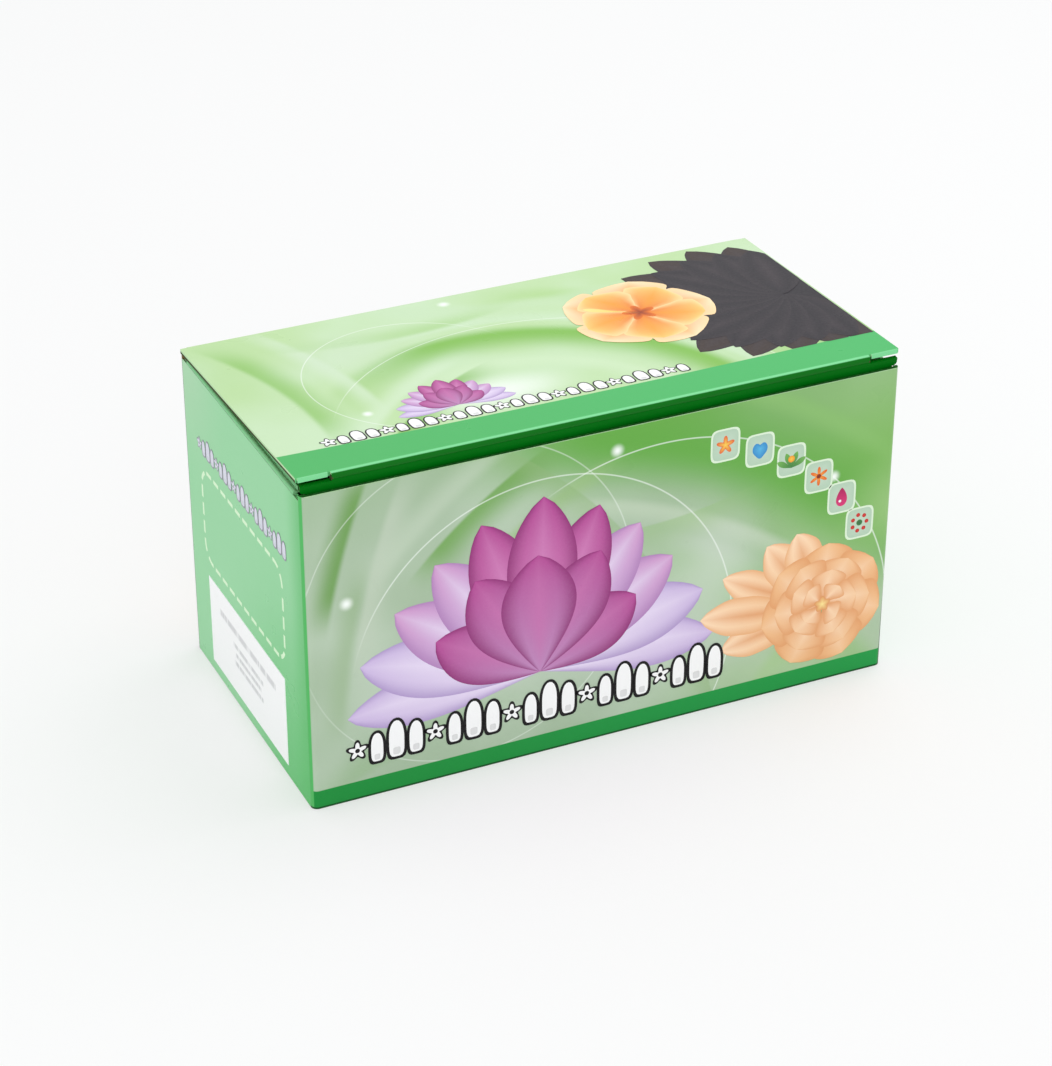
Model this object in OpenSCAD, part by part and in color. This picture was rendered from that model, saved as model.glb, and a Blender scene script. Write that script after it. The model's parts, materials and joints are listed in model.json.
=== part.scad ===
// Hand-operated nail art printer, packed in its closed retail carton.
// X runs along the long side, Y runs to the rear, Z is up.
// The origin is the centre of the carton's underside.

/* [Carton] */
// Outer width of the carton, along X
carton_w = 220; // [214:1:264]
// Outer depth of the carton, along Y
carton_d = 116; // [106:1:140]
// Height of the front panel's cut edge
carton_h = 120; // [118:1:150]
// Thickness of the corrugated board
board = 1.6; // [1.2:0.1:2.2]
// Outer radius of the upright creases
crease_r = 2.4; // [2.3:0.1:4]
// Height of the lid's front edge over the front panel's cut edge
lid_lift = 6; // [5:0.5:9]
// How far the lid panel runs past the side panels at each end
lid_overhang = 0.5; // [0:0.1:1]
// Length of the tuck flap from its fold to its free edge
tuck_len = 24; // [18:1:30]
// Lean of the tuck flap towards the inside, from upright
tuck_lean = 9; // [8:0.5:12]
// Width of the locking slit at each end of the tuck flap
slit_len = 9; // [8:0.5:16]
// Reach of each dust flap from its side panel
dust_len = 52; // [40:1:60]
// Slope of each dust flap's rear edge
dust_taper = 30; // [30:1:36]

/* [Insert] */
// Thickness of the insert's plain card
card = 1.2; // [0.8:0.1:1.6]
// Height of the insert's folded end cushions
cushion_h = 38; // [24:1:50]
// Free space between the machine and the insert's cushions
packing_gap = 0.8; // [0.4:0.1:2]

/* [Machine] */
// Length of the machine's base
base_l = 196; // [190:1:198]
// Depth of the machine's base
base_d = 90; // [84:1:92]
// Height of the base's low deck over the feet's underside
deck_h = 36; // [32:1:40]
// Height of the base's high nose over the feet's underside
nose_h = 56; // [52:1:58]
// Wall thickness of the moulded shells
shell = 2.4; // [1.8:0.1:3]
// Height of the rubber feet
foot_h = 2.5; // [1.5:0.5:4]
// Outer radius of the hood
hood_r = 46; // [44:1:47]
// Half length of the hood along Y
hood_half = 41.5; // [40:0.5:42]
// Radius of the hood's rounded rims
hood_round = 12; // [8:1:16]

/* [Printing head] */
// Rest angle of the handle, from upright towards the deck
handle_rest = 18; // [18:4.5:27]
// Furthest angle of the handle from upright, to either side
handle_limit = 50; // [45:1:52]
// Radius of the pivot axle
axle_r = 3; // [2.5:0.1:4]
// Running clearance between an axle and its bore
running = 0.05; // [0.02:0.01:0.1]
// Gear module of the curved rack and its pinion
gear_m = 1; // [1:0.1:1]
// Teeth on the pinion
pinion_teeth = 12; // [12:1:12]
// Teeth that a full circle of the curved rack would have
rack_teeth = 80; // [80:4:80]
// Radius of the rubber stamp roller
roller_r = 6.5; // [6:0.1:7]

/* [Deck] */
// Radius of the turntable's steel pattern disc
disc_r = 24; // [20:1:26]
// Travel of the scraper along the deck
scraper_travel = 40; // [30:1:42]
// Travel of the release button
button_travel = 2; // [1:0.5:2.5]

/* [Hidden] */
$fn = 64;
eps = 0.01;

// Carton: places that follow from the sizes above
half_w = carton_w / 2;
half_d = carton_d / 2;
in_w = half_w - board;          // inner face of a side panel
in_d = half_d - board;          // inner face of the front or back panel
fold_in = board / 2;            // a fold's axis lies this far inside the outer face
bead_r = board / 2;             // radius of the rolled board along a fold
slab_from = board / 2 + 0.2;    // the flat board starts this far from a fold's axis
neck_h = 0.3;                   // height of the neck from the roll to the flat board
fold_gap = 0.06;                // clearance round a fold's rolled board
side_top = carton_h - board;    // top of the side panels, under the dust flaps
lid_axis_y = half_d - fold_in;
lid_axis_z = carton_h + 0.1;
tuck_axis_y = -(in_d - 1.3);    // the lid's front fold lies behind the front panel
lid_rise = lid_lift - board - (lid_axis_z - carton_h);
lid_len = sqrt(pow(lid_axis_y - tuck_axis_y, 2) + pow(lid_rise, 2));
lid_tilt = atan2(lid_rise, lid_axis_y - tuck_axis_y);
tuck_axis_z = lid_axis_z + lid_rise;
tuck_half = in_w - 0.8;         // the tuck flap runs inside the side panels
tuck_corner = 12;               // rounded corners of the tuck flap's free edge
slit_gap = 1;                   // opening of the locking slit
shoulder_half = half_w - 0.5;   // the tuck flap's shoulders, over the side panels
fold_half = tuck_half - slit_len;
shoulder_foot = 0.3;            // gap between a shoulder and the front panel's cut edge
dust_front = in_d - 3.4;        // front edge of a dust flap, behind the tuck flap
dust_rear = in_d - 1.6;

// Insert
floor_z = 2 * board;            // top of the two layers of bottom flaps
tray_z = floor_z + card;
cushion_x = base_l / 2 + packing_gap;
bone_proud = 2.2;               // how far the moulded finger grip stands out of the base
fit_gap = 0.4;

// Machine: its own heights count from the insert's floor
deck_x1 = -8;                   // the nose's wall, where the deck ends
plan_r = 10;
hood_x = 32;                    // the pivot, which is the hood's centre
hood_z = 50;
slot_y0 = 0.6;                  // the arm's slot through the hood
slot_y1 = 7.4;
arm_y0 = 1.2;
arm_y1 = 6.8;
arm_w = 9;
nose_slope_x = 70;              // where the nose starts to slope down
nose_end_h = deck_h - 2;
nose_bevel = hood_half > base_d / 2 - 3 ? base_d / 2 - hood_half : 3;
orbit_r = gear_m * (rack_teeth - pinion_teeth) / 2;
rack_pitch_r = gear_m * rack_teeth / 2;
slot_half = handle_limit + asin(arm_w / 2 / (hood_r - shell)) + 1.5;   // half angle of the arm's slot
roller_y0 = -17;
roller_y1 = 0.4;
pinion_y0 = -23;
pinion_y1 = -18;
turntable_x = -base_l / 2 + 38;
turntable_y = -8;
scraper_y = base_d / 2 - 15;
scraper_x = -base_l / 2 + 18;
button_x = -base_l / 2 + 19;
button_y = -base_d / 2 + 12;
grip_r0 = hood_r + 4;
grip_r1 = hood_r + 13;
guard_span = 38;

carton_green = [0.33, 0.74, 0.42];
kraft = [0.72, 0.56, 0.38];
lavender = [0.76, 0.68, 0.86];
plum = [0.70, 0.30, 0.58];
steel = [0.75, 0.76, 0.78];
rubber_dark = [0.18, 0.17, 0.19];

// ---------- Shared shapes ----------

// A rectangle with rounded corners, centred
module rounded_rect(x, y, r) {
    square([x - 2 * r, y], center = true);
    square([x, y - 2 * r], center = true);
    for (i = [-1, 1], j = [-1, 1])
        translate([i * (x / 2 - r), j * (y / 2 - r)]) circle(r);
}

// A slab from one corner to the opposite one
module slab(from, to) {
    translate(from) cube(to - from);
}

// A cylinder along Y
module rod_y(r, y0, y1) {
    translate([0, y1, 0]) rotate([90, 0, 0]) cylinder(r = r, h = y1 - y0);
}

// A cylinder along X
module rod_x(r, x0, x1) {
    translate([x0, 0, 0]) rotate([0, 90, 0]) cylinder(r = r, h = x1 - x0);
}

// A ring sector about the Y axis, its middle at the angle mid from upright towards +X
module arc_y(r0, r1, y0, y1, mid, half) {
    rotate([0, mid, 0]) rotate([90, 0, 0]) rotate([0, 0, 90 - half])
        rotate_extrude(angle = 2 * half) translate([r0, -y1]) square([r1 - r0, y1 - y0]);
}

module at_machine() {
    translate([0, 0, tray_z]) children();
}

module at_pivot() {
    translate([hood_x, 0, tray_z + hood_z]) children();
}

// Turns a shape that stands upright over the pivot to the handle's rest angle
module at_handle() {
    at_pivot() rotate([0, -handle_rest, 0]) children();
}

// ---------- Carton ----------

// Outline of the four walls, seen from above
module wall_outline() {
    difference() {
        rounded_rect(carton_w, carton_d, crease_r);
        rounded_rect(2 * in_w, 2 * in_d, crease_r - board);
    }
}

module long_wall(side, height) {
    linear_extrude(height) intersection() {
        wall_outline();
        translate([-half_w, side > 0 ? half_d - crease_r : -half_d]) square([carton_w, crease_r]);
    }
}

module short_wall(side) {
    linear_extrude(side_top) intersection() {
        wall_outline();
        translate([side > 0 ? half_w - board : -half_w, -half_d + crease_r])
            square([board, carton_d - 2 * crease_r]);
    }
}

module front_panel() {
    color(carton_green) long_wall(-1, carton_h);
}

module back_panel() {
    color(carton_green) difference() {
        long_wall(1, lid_axis_z);
        translate([0, lid_axis_y, lid_axis_z]) rod_x(bead_r + fold_gap, -half_w - 1, half_w + 1);
    }
}

module side_panel(side) {
    difference() {
        short_wall(side);
        translate([side * (half_w - fold_in), 0, side_top]) rod_y(bead_r + fold_gap, -half_d, half_d);
    }
}

module left_panel() {
    color(carton_green) side_panel(-1);
}

module right_panel() {
    color(carton_green) side_panel(1);
}

module glue_flap() {
    glue_w = 16;
    color(kraft) slab([-in_w + 0.6, in_d - board, floor_z + 4], [-in_w + glue_w, in_d, side_top - 8]);
}

module bottom_front_flap() {
    color(carton_green) slab([-in_w + fit_gap, -in_d, 0], [in_w - fit_gap, -fit_gap / 2, board]);
}

module bottom_rear_flap() {
    color(carton_green) slab([-in_w + fit_gap, fit_gap / 2, 0], [in_w - fit_gap, in_d, board]);
}

module bottom_left_flap() {
    color(kraft) slab([-in_w, -in_d + fit_gap, board], [-half_w / 2.4, in_d - fit_gap, floor_z]);
}

module bottom_right_flap() {
    color(kraft) slab([half_w / 2.4, -in_d + fit_gap, board], [in_w, in_d - fit_gap, floor_z]);
}

// The paper label on the left panel
module side_label() {
    label_y = 1.8;
    label_w = 75;
    label_z = 4.6;
    label_h = 35;
    paper = 0.2;
    color("white") slab([-half_w - paper, label_y - label_w / 2, label_z],
        [-half_w, label_y + label_w / 2, label_z + label_h]);
}

// A flap's rolled fold along X, at the origin, with its neck to a board that runs to -Y
module fold_roll(half) {
    rod_x(bead_r, -half, half);
    slab([-half, -slab_from - board / 2, 0], [half, 0, neck_h]);
    translate([0, -slab_from - board / 2, board / 2]) rod_x(board / 2, -half, half);
}

// The lid lies along -Y from its fold at the origin
module lid_board() {
    lid_half = half_w + lid_overhang;
    tab_reach = 0.6;
    fold_roll(in_w - 1);
    slab([-lid_half, -lid_len, 0], [lid_half, -slab_from - board / 2, board]);
    slab([fold_half + slit_gap, -lid_len - tab_reach, 0], [lid_half - 0.6, -lid_len + eps, board]);
    slab([-lid_half + 0.6, -lid_len - tab_reach, 0], [-fold_half - slit_gap, -lid_len + eps, board]);
    translate([0, -lid_len, 0]) rod_x(board, -fold_half, fold_half);
}

module lid_panel() {
    color(carton_green) translate([0, lid_axis_y, lid_axis_z]) rotate([-lid_tilt, 0, 0]) lid_board();
}

// Outline of the tuck flap, from its fold along -Y
module tuck_outline() {
    shoulder_len = (tuck_axis_z - carton_h - shoulder_foot) / cos(tuck_lean) - board * sin(tuck_lean);
    shoulder_r = 1.4;
    translate([-tuck_half, -tuck_len + tuck_corner]) square([2 * tuck_half, tuck_len - tuck_corner]);
    translate([-tuck_half + tuck_corner, -tuck_len]) square([2 * (tuck_half - tuck_corner), tuck_corner + eps]);
    for (i = [-1, 1]) translate([i * (tuck_half - tuck_corner), -tuck_len + tuck_corner]) circle(tuck_corner);
    translate([-shoulder_half + shoulder_r, -shoulder_len])
        square([2 * (shoulder_half - shoulder_r), shoulder_len - slit_gap]);
    translate([-shoulder_half, -shoulder_len + shoulder_r])
        square([2 * shoulder_half, shoulder_len - slit_gap - shoulder_r]);
    for (i = [-1, 1]) translate([i * (shoulder_half - shoulder_r), -shoulder_len + shoulder_r]) circle(shoulder_r);
}

// The tuck flap hangs down from its fold, at the origin, with its printed face to -Y
module tuck_board() {
    difference() {
        rotate([90, 0, 0]) linear_extrude(board) difference() {
            tuck_outline();
            for (i = [-1, 1]) translate([i * (fold_half + half_w / 2), 0]) square([half_w, 2 * slit_gap], center = true);
        }
        rod_x(board + fold_gap, -fold_half - 0.3, fold_half + 0.3);
    }
}

module tuck_flap() {
    color(carton_green) translate([0, tuck_axis_y, tuck_axis_z]) rotate([tuck_lean, 0, 0]) tuck_board();
}

// A dust flap runs to +X from its fold at the origin, its rear edge sloping to the free end
module dust_board() {
    rear_drop = dust_len * tan(dust_taper);
    flat_from = slab_from + board / 2;
    free_r = 6;
    rotate([0, 0, 90]) fold_roll(dust_front - 2);
    linear_extrude(board) difference() {
        polygon([
            [flat_from, -dust_front], [dust_len - free_r, -dust_front], [dust_len, -dust_front + free_r],
            [dust_len, dust_rear - rear_drop], [flat_from, dust_rear - flat_from * tan(dust_taper)]
        ]);
        translate([dust_len, dust_rear - rear_drop]) rotate(45) square(free_r, center = true);
    }
}

module dust_flap_left() {
    color(kraft) translate([-half_w + fold_in, 0, side_top]) dust_board();
}

module dust_flap_right() {
    color(kraft) mirror([1, 0, 0]) translate([-half_w + fold_in, 0, side_top]) dust_board();
}

// ---------- Insert ----------

// Folded cushion: an upright channel of card, open below, along Y
module cushion_profile(from, to, height) {
    translate([from, 0]) square([card, height]);
    translate([to - card, 0]) square([card, height]);
    translate([from, height - card]) square([to - from, card]);
}

module insert_tray() {
    color(kraft) translate([0, 0, floor_z]) rotate([90, 0, 0])
        linear_extrude(2 * (in_d - board - fit_gap), center = true) {
            translate([-in_w + fit_gap, 0]) square([2 * (in_w - fit_gap), card]);
            cushion_profile(cushion_x, in_w - fit_gap, cushion_h);
            mirror([1, 0]) cushion_profile(cushion_x, in_w - fit_gap, cushion_h);
        }
}

module insert_rib(from) {
    rib_h = cushion_h * 0.55;
    translate([0, 0, tray_z]) rotate([90, 0, 90])
        linear_extrude(2 * (cushion_x - fit_gap), center = true) cushion_profile(from, in_d - board - fit_gap, rib_h);
}

module insert_rib_front() {
    color(kraft) mirror([0, 1, 0]) insert_rib(base_d / 2 + bone_proud + packing_gap / 2);
}

module insert_rib_rear() {
    color(kraft) insert_rib(base_d / 2 + packing_gap);
}

// ---------- Machine: base ----------

// The low deck's block, with its upper edges bevelled
module deck_block(inset) {
    bevel = 3;
    top = deck_h - inset;
    half = base_d / 2 - inset;
    intersection() {
        translate([0, 0, foot_h]) linear_extrude(deck_h)
            rounded_rect(base_l - 2 * inset, base_d - 2 * inset, plan_r - inset);
        translate([-base_l / 2 - 1, 0, 0]) rotate([90, 0, 90]) linear_extrude(base_l / 2 + 1 + deck_x1 + 6)
            polygon([[-half, 0], [half, 0], [half, top - bevel], [half - bevel, top],
                [-half + bevel, top], [-half, top - bevel]]);
    }
}

// The high nose's block, which slopes down to the machine's end
module nose_block(inset) {
    bevel = nose_bevel;
    half = base_d / 2 - inset;
    top = nose_h - inset;
    intersection() {
        translate([0, 0, foot_h]) linear_extrude(nose_h)
            rounded_rect(base_l - 2 * inset, base_d - 2 * inset, plan_r - inset);
        translate([0, base_d / 2 + 1, 0]) rotate([90, 0, 0]) linear_extrude(base_d + 2)
            polygon([[deck_x1 + inset, 0], [base_l / 2 - inset, 0], [base_l / 2 - inset, nose_end_h - inset],
                [nose_slope_x, top], [deck_x1 + inset, top]]);
        translate([deck_x1 - 1, 0, 0]) rotate([90, 0, 90]) linear_extrude(base_l)
            polygon([[-half, 0], [half, 0], [half, top - bevel], [half - bevel, top],
                [-half + bevel, top], [-half, top - bevel]]);
    }
}

screw_x = base_l / 2 - 9;
screw_y = base_d / 2 - 9;
boss_r = 3.6;
screw_r = 1.5;
module screw_places() {
    for (i = [-1, 1], j = [-1, 1]) translate([i * screw_x, j * screw_y, 0]) children();
}

// Moulded finger grip: a bone-shaped rib on the front
module bone_grip() {
    bone_x = -70;
    bone_z = 15;
    bone_half = 13;
    translate([bone_x, -base_d / 2, bone_z]) rotate([90, 0, 0]) translate([0, 0, -0.6])
        linear_extrude(bone_proud + 0.6) intersection() {
            union() {
                square([2 * bone_half, 6], center = true);
                for (i = [-1, 1], j = [-1, 1]) translate([i * bone_half, j * 2.6]) circle(4.2);
            }
            square([60, 16], center = true);
        }
}

rest_x0 = hood_x + 17;
rest_x1 = hood_x + 37;
rest_half = 12;
rest_depth = 4;
hub_r = axle_r + 5;
rib_w = 3;
rib_gap = 2.4;                  // between the arm's hub and the ribs that hold the axle
axle_y0 = arm_y0 - rib_gap - rib_w;
axle_y1 = arm_y1 + rib_gap + rib_w;
axle_head = 1.2;
axle_head_r = axle_r + 1;
nose_slot = (nose_h - hood_z) * tan(handle_limit) + arm_w / 2 / cos(handle_limit) + 1;

// Ribs inside the nose that hold the pivot axle
module axle_ribs() {
    for (y = [arm_y0 - rib_gap - rib_w, arm_y1 + rib_gap])
        slab([hood_x - hub_r - 2, y, foot_h + shell + 0.4], [hood_x + hub_r + 2, y + rib_w, nose_h - shell + eps]);
}

module base_shell() {
    groove_h = 1.2;
    groove_deep = 1.2;
    groove_z = deck_h - 7;
    color(lavender) at_machine() difference() {
        union() {
            difference() {
                union() {
                    deck_block(0);
                    nose_block(0);
                }
                translate([0, 0, -eps]) {
                    deck_block(shell);
                    nose_block(shell);
                    linear_extrude(foot_h + 1) rounded_rect(base_l - 2 * shell, base_d - 2 * shell, plan_r - shell);
                }
                slab([deck_x1 - 6, -base_d / 2 + shell + 6, foot_h],
                    [deck_x1 + 6, base_d / 2 - shell - 6, deck_h - shell]);
            }
            intersection() {
                screw_places() translate([0, 0, foot_h + shell]) cylinder(r = boss_r, h = nose_h);
                union() {
                    deck_block(shell / 2);
                    nose_block(shell / 2);
                }
            }
            // well under the finger rest
            slab([rest_x0 - shell, -rest_half - shell, nose_h - rest_depth - shell],
                [rest_x1 + shell / 2, rest_half + shell, nose_h - shell + eps]);
            axle_ribs();
            bone_grip();
            // seat of the turntable's spindle
            translate([turntable_x, turntable_y, foot_h + shell])
                cylinder(r = 5, h = deck_h - shell * 2 - foot_h + 0.5);
        }
        screw_places() translate([0, 0, foot_h]) cylinder(r = screw_r, h = 18);
        // groove of the plate tray, along the front and the left end
        slab([-base_l / 2 - 1, -base_d / 2 - 1, groove_z], [deck_x1 - 16, -base_d / 2 + groove_deep, groove_z + groove_h]);
        slab([-base_l / 2 - 1, -base_d / 2 - 1, groove_z], [-base_l / 2 + groove_deep, base_d / 2 - 12, groove_z + groove_h]);
        slab([rest_x0, -rest_half, nose_h - rest_depth], [rest_x1, rest_half, nose_h + 1]);
        slab([hood_x - nose_slot, slot_y0, nose_h - shell - 1], [hood_x + nose_slot, slot_y1, nose_h + 1]);
        translate([hood_x, 0, hood_z]) {
            rod_y(axle_r, axle_y0, axle_y1);
            rod_y(axle_head_r + 0.3, axle_y0 - axle_head - 0.3, axle_y0);
            rod_y(axle_head_r + 0.3, axle_y1, axle_y1 + axle_head + 0.3);
        }
        // bores and slots through the deck
        translate([turntable_x, turntable_y, foot_h + shell + 6]) cylinder(r = 2, h = deck_h);
        translate([button_x, button_y, deck_h - 12]) cylinder(r = 4.4, h = 20);
        slab([scraper_x - 3.6, scraper_y - 1.6, deck_h - shell - 4],
            [scraper_x + scraper_travel + 3.6, scraper_y + 1.6, deck_h + 1]);
    }
}

module bottom_cover() {
    cover_gap = 0.4;
    color(lavender) at_machine() difference() {
        translate([0, 0, foot_h]) linear_extrude(shell)
            rounded_rect(base_l - 2 * (shell + cover_gap), base_d - 2 * (shell + cover_gap), plan_r - shell - cover_gap);
        screw_places() translate([0, 0, foot_h - 1]) cylinder(r = screw_r, h = 10);
    }
}

module base_screws() {
    head_h = 1.4;
    color(steel) at_machine() screw_places() translate([0, 0, foot_h]) {
        cylinder(r = screw_r, h = 17);
        translate([0, 0, -head_h]) cylinder(r = 2.8, h = head_h);
    }
}

module rubber_feet() {
    color(rubber_dark) at_machine()
        for (i = [-1, 1], j = [-1, 1]) translate([i * (base_l / 2 - 30), j * (base_d / 2 - 12), 0]) cylinder(r = 6, h = foot_h);
}

plate_h = 1.6;
module deck_plate() {
    plate_x0 = -base_l / 2 + 5;
    plate_x1 = hood_x - hood_r - 4;
    plate_half = base_d / 2 - 5;
    color(lavender * 0.93) at_machine() translate([0, 0, deck_h]) difference() {
        translate([(plate_x0 + plate_x1) / 2, 0, 0]) linear_extrude(plate_h)
            rounded_rect(plate_x1 - plate_x0, 2 * plate_half, 6);
        translate([turntable_x, turntable_y, -1]) cylinder(r = disc_r + 2.2, h = 5);
        translate([button_x, button_y, -1]) cylinder(r = 4.4, h = 5);
        slab([scraper_x - 3.6, scraper_y - 1.6, -1], [scraper_x + scraper_travel + 3.6, scraper_y + 1.6, 5]);
    }
}

// ---------- Machine: hood ----------

// Half outline of the hood, from its axis outwards
module hood_outline(inset) {
    square([hood_r - hood_round, hood_half - inset]);
    square([hood_r - inset, hood_half - hood_round]);
    translate([hood_r - hood_round, hood_half - hood_round]) circle(hood_round - inset);
}

module hood_solid(inset) {
    rotate([90, 0, 0]) rotate_extrude() intersection() {
        union() {
            hood_outline(inset);
            mirror([0, 1]) hood_outline(inset);
        }
        translate([0, -hood_half - 1]) square([hood_r + 1, 2 * hood_half + 2]);
    }
}

hood_foot = nose_h - hood_z;    // height of the nose over the pivot
module hood_shell() {
    skirt_z = deck_h - hood_z + 0.3;
    wall_x = deck_x1 - hood_x - 0.4;
    color(plum) at_pivot() difference() {
        hood_solid(0);
        hood_solid(shell);
        // open below: on the nose, and over the deck beyond the nose's wall
        slab([wall_x, -hood_half - 1, -hood_r - 1], [hood_r + 1, hood_half + 1, hood_foot]);
        slab([-hood_r - 1, -hood_half - 1, -hood_r - 1], [wall_x + eps, hood_half + 1, skirt_z]);
        // finger opening
        rotate([90, 0, 0]) linear_extrude(2 * hood_half + 2, center = true)
            polygon([[14, hood_foot - 1], [hood_r + 2, hood_foot - 1], [hood_r + 2, 24], [34, 19], [16, hood_foot]]);
        arc_y(hood_r - 10, hood_r + 4, slot_y0, slot_y1, 0, slot_half);
    }
}

// Round cap on the hood's front, with a crescent rib beside it
module hood_boss() {
    color(plum * 0.9) at_pivot() translate([-13, -hood_half, 21]) rotate([90, 0, 0]) {
        cylinder(r = 7, h = 1.6);
        translate([0, 0, 1.6]) cylinder(r1 = 7, r2 = 5.5, h = 1);
        linear_extrude(1.4) difference() {
            translate([2, -2]) circle(12);
            translate([-0.5, 1.5]) circle(11.4);
        }
    }
}

module guard_arch() {
    color(lavender) at_pivot() {
        arc_y(hood_r, hood_r + 5, -18, -13, -handle_rest, guard_span);
        arc_y(hood_r + 2.6, hood_r + 5, -23, -17.9, -handle_rest, guard_span);
    }
}

module index_comb() {
    tooth_step = 2.6;
    teeth = floor(2 * (guard_span - 2) / tooth_step);
    color(plum * 0.8) at_pivot() {
        arc_y(hood_r, hood_r + 1, -22, -18, -handle_rest, guard_span - 1);
        for (k = [0 : teeth])
            arc_y(hood_r + 1 - eps, hood_r + 2.6, -22, -18, -handle_rest - guard_span + 2 + k * tooth_step, 0.7);
    }
}

// ---------- Machine: printing head ----------

// One gear tooth standing on a circle of radius root, pointing up from the origin
module tooth(root, tip, wide, narrow) {
    polygon([[-wide / 2, root - 0.3], [wide / 2, root - 0.3], [narrow / 2, tip], [-narrow / 2, tip]]);
}

tooth_wide = 1.3 * gear_m;
tooth_narrow = 0.6 * gear_m;
rack_half = 60;
module curved_rack() {
    pitch_angle = 360 / rack_teeth;
    count = floor(rack_half / pitch_angle) - 1;
    color(lavender) at_pivot() {
        arc_y(rack_pitch_r + 1.1 * gear_m, hood_r - shell, pinion_y0, pinion_y1, 0, rack_half);
        for (k = [-count : count - 1])
            rotate([0, (k + 0.5) * pitch_angle, 0]) translate([0, pinion_y1, 0]) rotate([90, 0, 0])
                linear_extrude(pinion_y1 - pinion_y0)
                    tooth(rack_pitch_r + 1.4 * gear_m, rack_pitch_r - 0.8 * gear_m, tooth_wide, tooth_narrow);
    }
}

module pivot_axle() {
    color(steel) at_pivot() {
        rod_y(axle_r, axle_y0, axle_y1);
        rod_y(axle_head_r, axle_y0 - axle_head, axle_y0);
        rod_y(axle_head_r, axle_y1, axle_y1 + axle_head);
    }
}

module swing_arm() {
    color(lavender) at_handle() difference() {
        union() {
            rod_y(hub_r, arm_y0, arm_y1);
            slab([-arm_w / 2, arm_y0, 0], [arm_w / 2, arm_y1, grip_r0 + 1]);
        }
        rod_y(axle_r + running, arm_y0 - 1, arm_y1 + 1);
        translate([0, 0, orbit_r]) rod_y(1.5, arm_y0 - 1, arm_y1 + 1);
        arc_y(grip_r0, grip_r1 + 4, arm_y0 - 1, arm_y1 + 1, 0, 20);
    }
}

// The grip's cross-section, from its middle plane outwards, for its caps
module grip_cap_outline(thick, wide, edge) {
    intersection() {
        rounded_rect(thick, wide, edge);
        translate([0, -wide]) square([thick, 2 * wide]);
    }
}

module grip_bar() {
    grip_half = 24;
    grip_wide = 17;
    grip_y = 4.5;
    edge = 3;
    thick = grip_r1 - grip_r0;
    grip_mid = (grip_r0 + grip_r1) / 2;
    color(lavender) at_handle() translate([0, grip_y, 0]) {
        rotate([90, 0, 0]) rotate([0, 0, 90 - grip_half]) rotate_extrude(angle = 2 * grip_half)
            translate([grip_mid, 0]) rounded_rect(thick, grip_wide, edge);
        for (i = [-1, 1]) rotate([0, i * grip_half, 0]) translate([0, 0, grip_mid]) rotate([90, 0, 0])
            rotate_extrude() grip_cap_outline(thick, grip_wide, edge);
    }
}

module roller_axle() {
    color(steel) at_handle() translate([0, 0, orbit_r]) rod_y(1.5, pinion_y0 - 1, arm_y1);
}

module stamp_core() {
    color(lavender * 0.8) at_handle() translate([0, 0, orbit_r]) difference() {
        rod_y(4.5, roller_y0, roller_y1);
        rod_y(1.5 + running, roller_y0 - 1, roller_y1 + 1);
    }
}

module stamp_tyre() {
    color("white") at_handle() translate([0, 0, orbit_r]) difference() {
        rod_y(roller_r, roller_y0 + 1, roller_y1 - 1);
        rod_y(4.5, roller_y0 - 1, roller_y1 + 1);
    }
}

module pinion() {
    pinion_pitch_r = gear_m * pinion_teeth / 2;
    root = pinion_pitch_r - 1.2 * gear_m;
    color(steel) at_handle() translate([0, 0, orbit_r]) difference() {
        union() {
            rod_y(root, pinion_y0, pinion_y1);
            rod_y(3.2, pinion_y1 - eps, roller_y0);
            for (k = [0 : pinion_teeth - 1])
                rotate([0, k * 360 / pinion_teeth, 0]) translate([0, pinion_y1, 0]) rotate([90, 0, 0])
                    linear_extrude(pinion_y1 - pinion_y0)
                        tooth(root, pinion_pitch_r + 0.8 * gear_m, tooth_wide, tooth_narrow);
        }
        rod_y(1.5 + running, pinion_y0 - 1, roller_y0 + 1);
    }
}

// The holder lifts its plate to just under the roller's lowest place on the left
holder_x0 = deck_x1 + 2;
holder_x1 = 20;
holder_y0 = roller_y0 - 0.6;
holder_y1 = slot_y0;
holder_rim = 1.6;
plate_t = 0.8;
plate_top = hood_z + orbit_r * cos(handle_limit) - roller_r - 0.35;
module plate_holder() {
    color(lavender * 0.85) at_machine() difference() {
        slab([holder_x0, holder_y0, nose_h], [holder_x1, holder_y1, plate_top - 0.2]);
        slab([holder_x0 + holder_rim, holder_y0 + holder_rim, plate_top - plate_t],
            [holder_x1 - holder_rim, holder_y1 - holder_rim, plate_top + 1]);
    }
}

module pattern_plate() {
    color(steel) at_machine() slab([holder_x0 + holder_rim + 0.2, holder_y0 + holder_rim + 0.2, plate_top - plate_t],
        [holder_x1 - holder_rim - 0.2, holder_y1 - holder_rim - 0.2, plate_top]);
}

module finger_rest() {
    color(plum * 0.8) at_machine() difference() {
        slab([rest_x0 + 0.2, -rest_half + 0.2, nose_h - rest_depth], [rest_x1 - 0.2, rest_half - 0.2, nose_h]);
        translate([0, 0, nose_h + 6.5]) rod_x(9, rest_x0 - 1, rest_x1 + 1);
    }
}

module finger_pad() {
    color(rubber_dark) at_machine() intersection() {
        slab([rest_x0 + 4, -rest_half, nose_h - rest_depth], [rest_x1 - 4, rest_half, nose_h + 1]);
        translate([0, 0, nose_h + 6.5]) difference() {
            rod_x(9, rest_x0, rest_x1);
            rod_x(8, rest_x0 - 1, rest_x1 + 1);
        }
    }
}

// ---------- Machine: deck ----------

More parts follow.
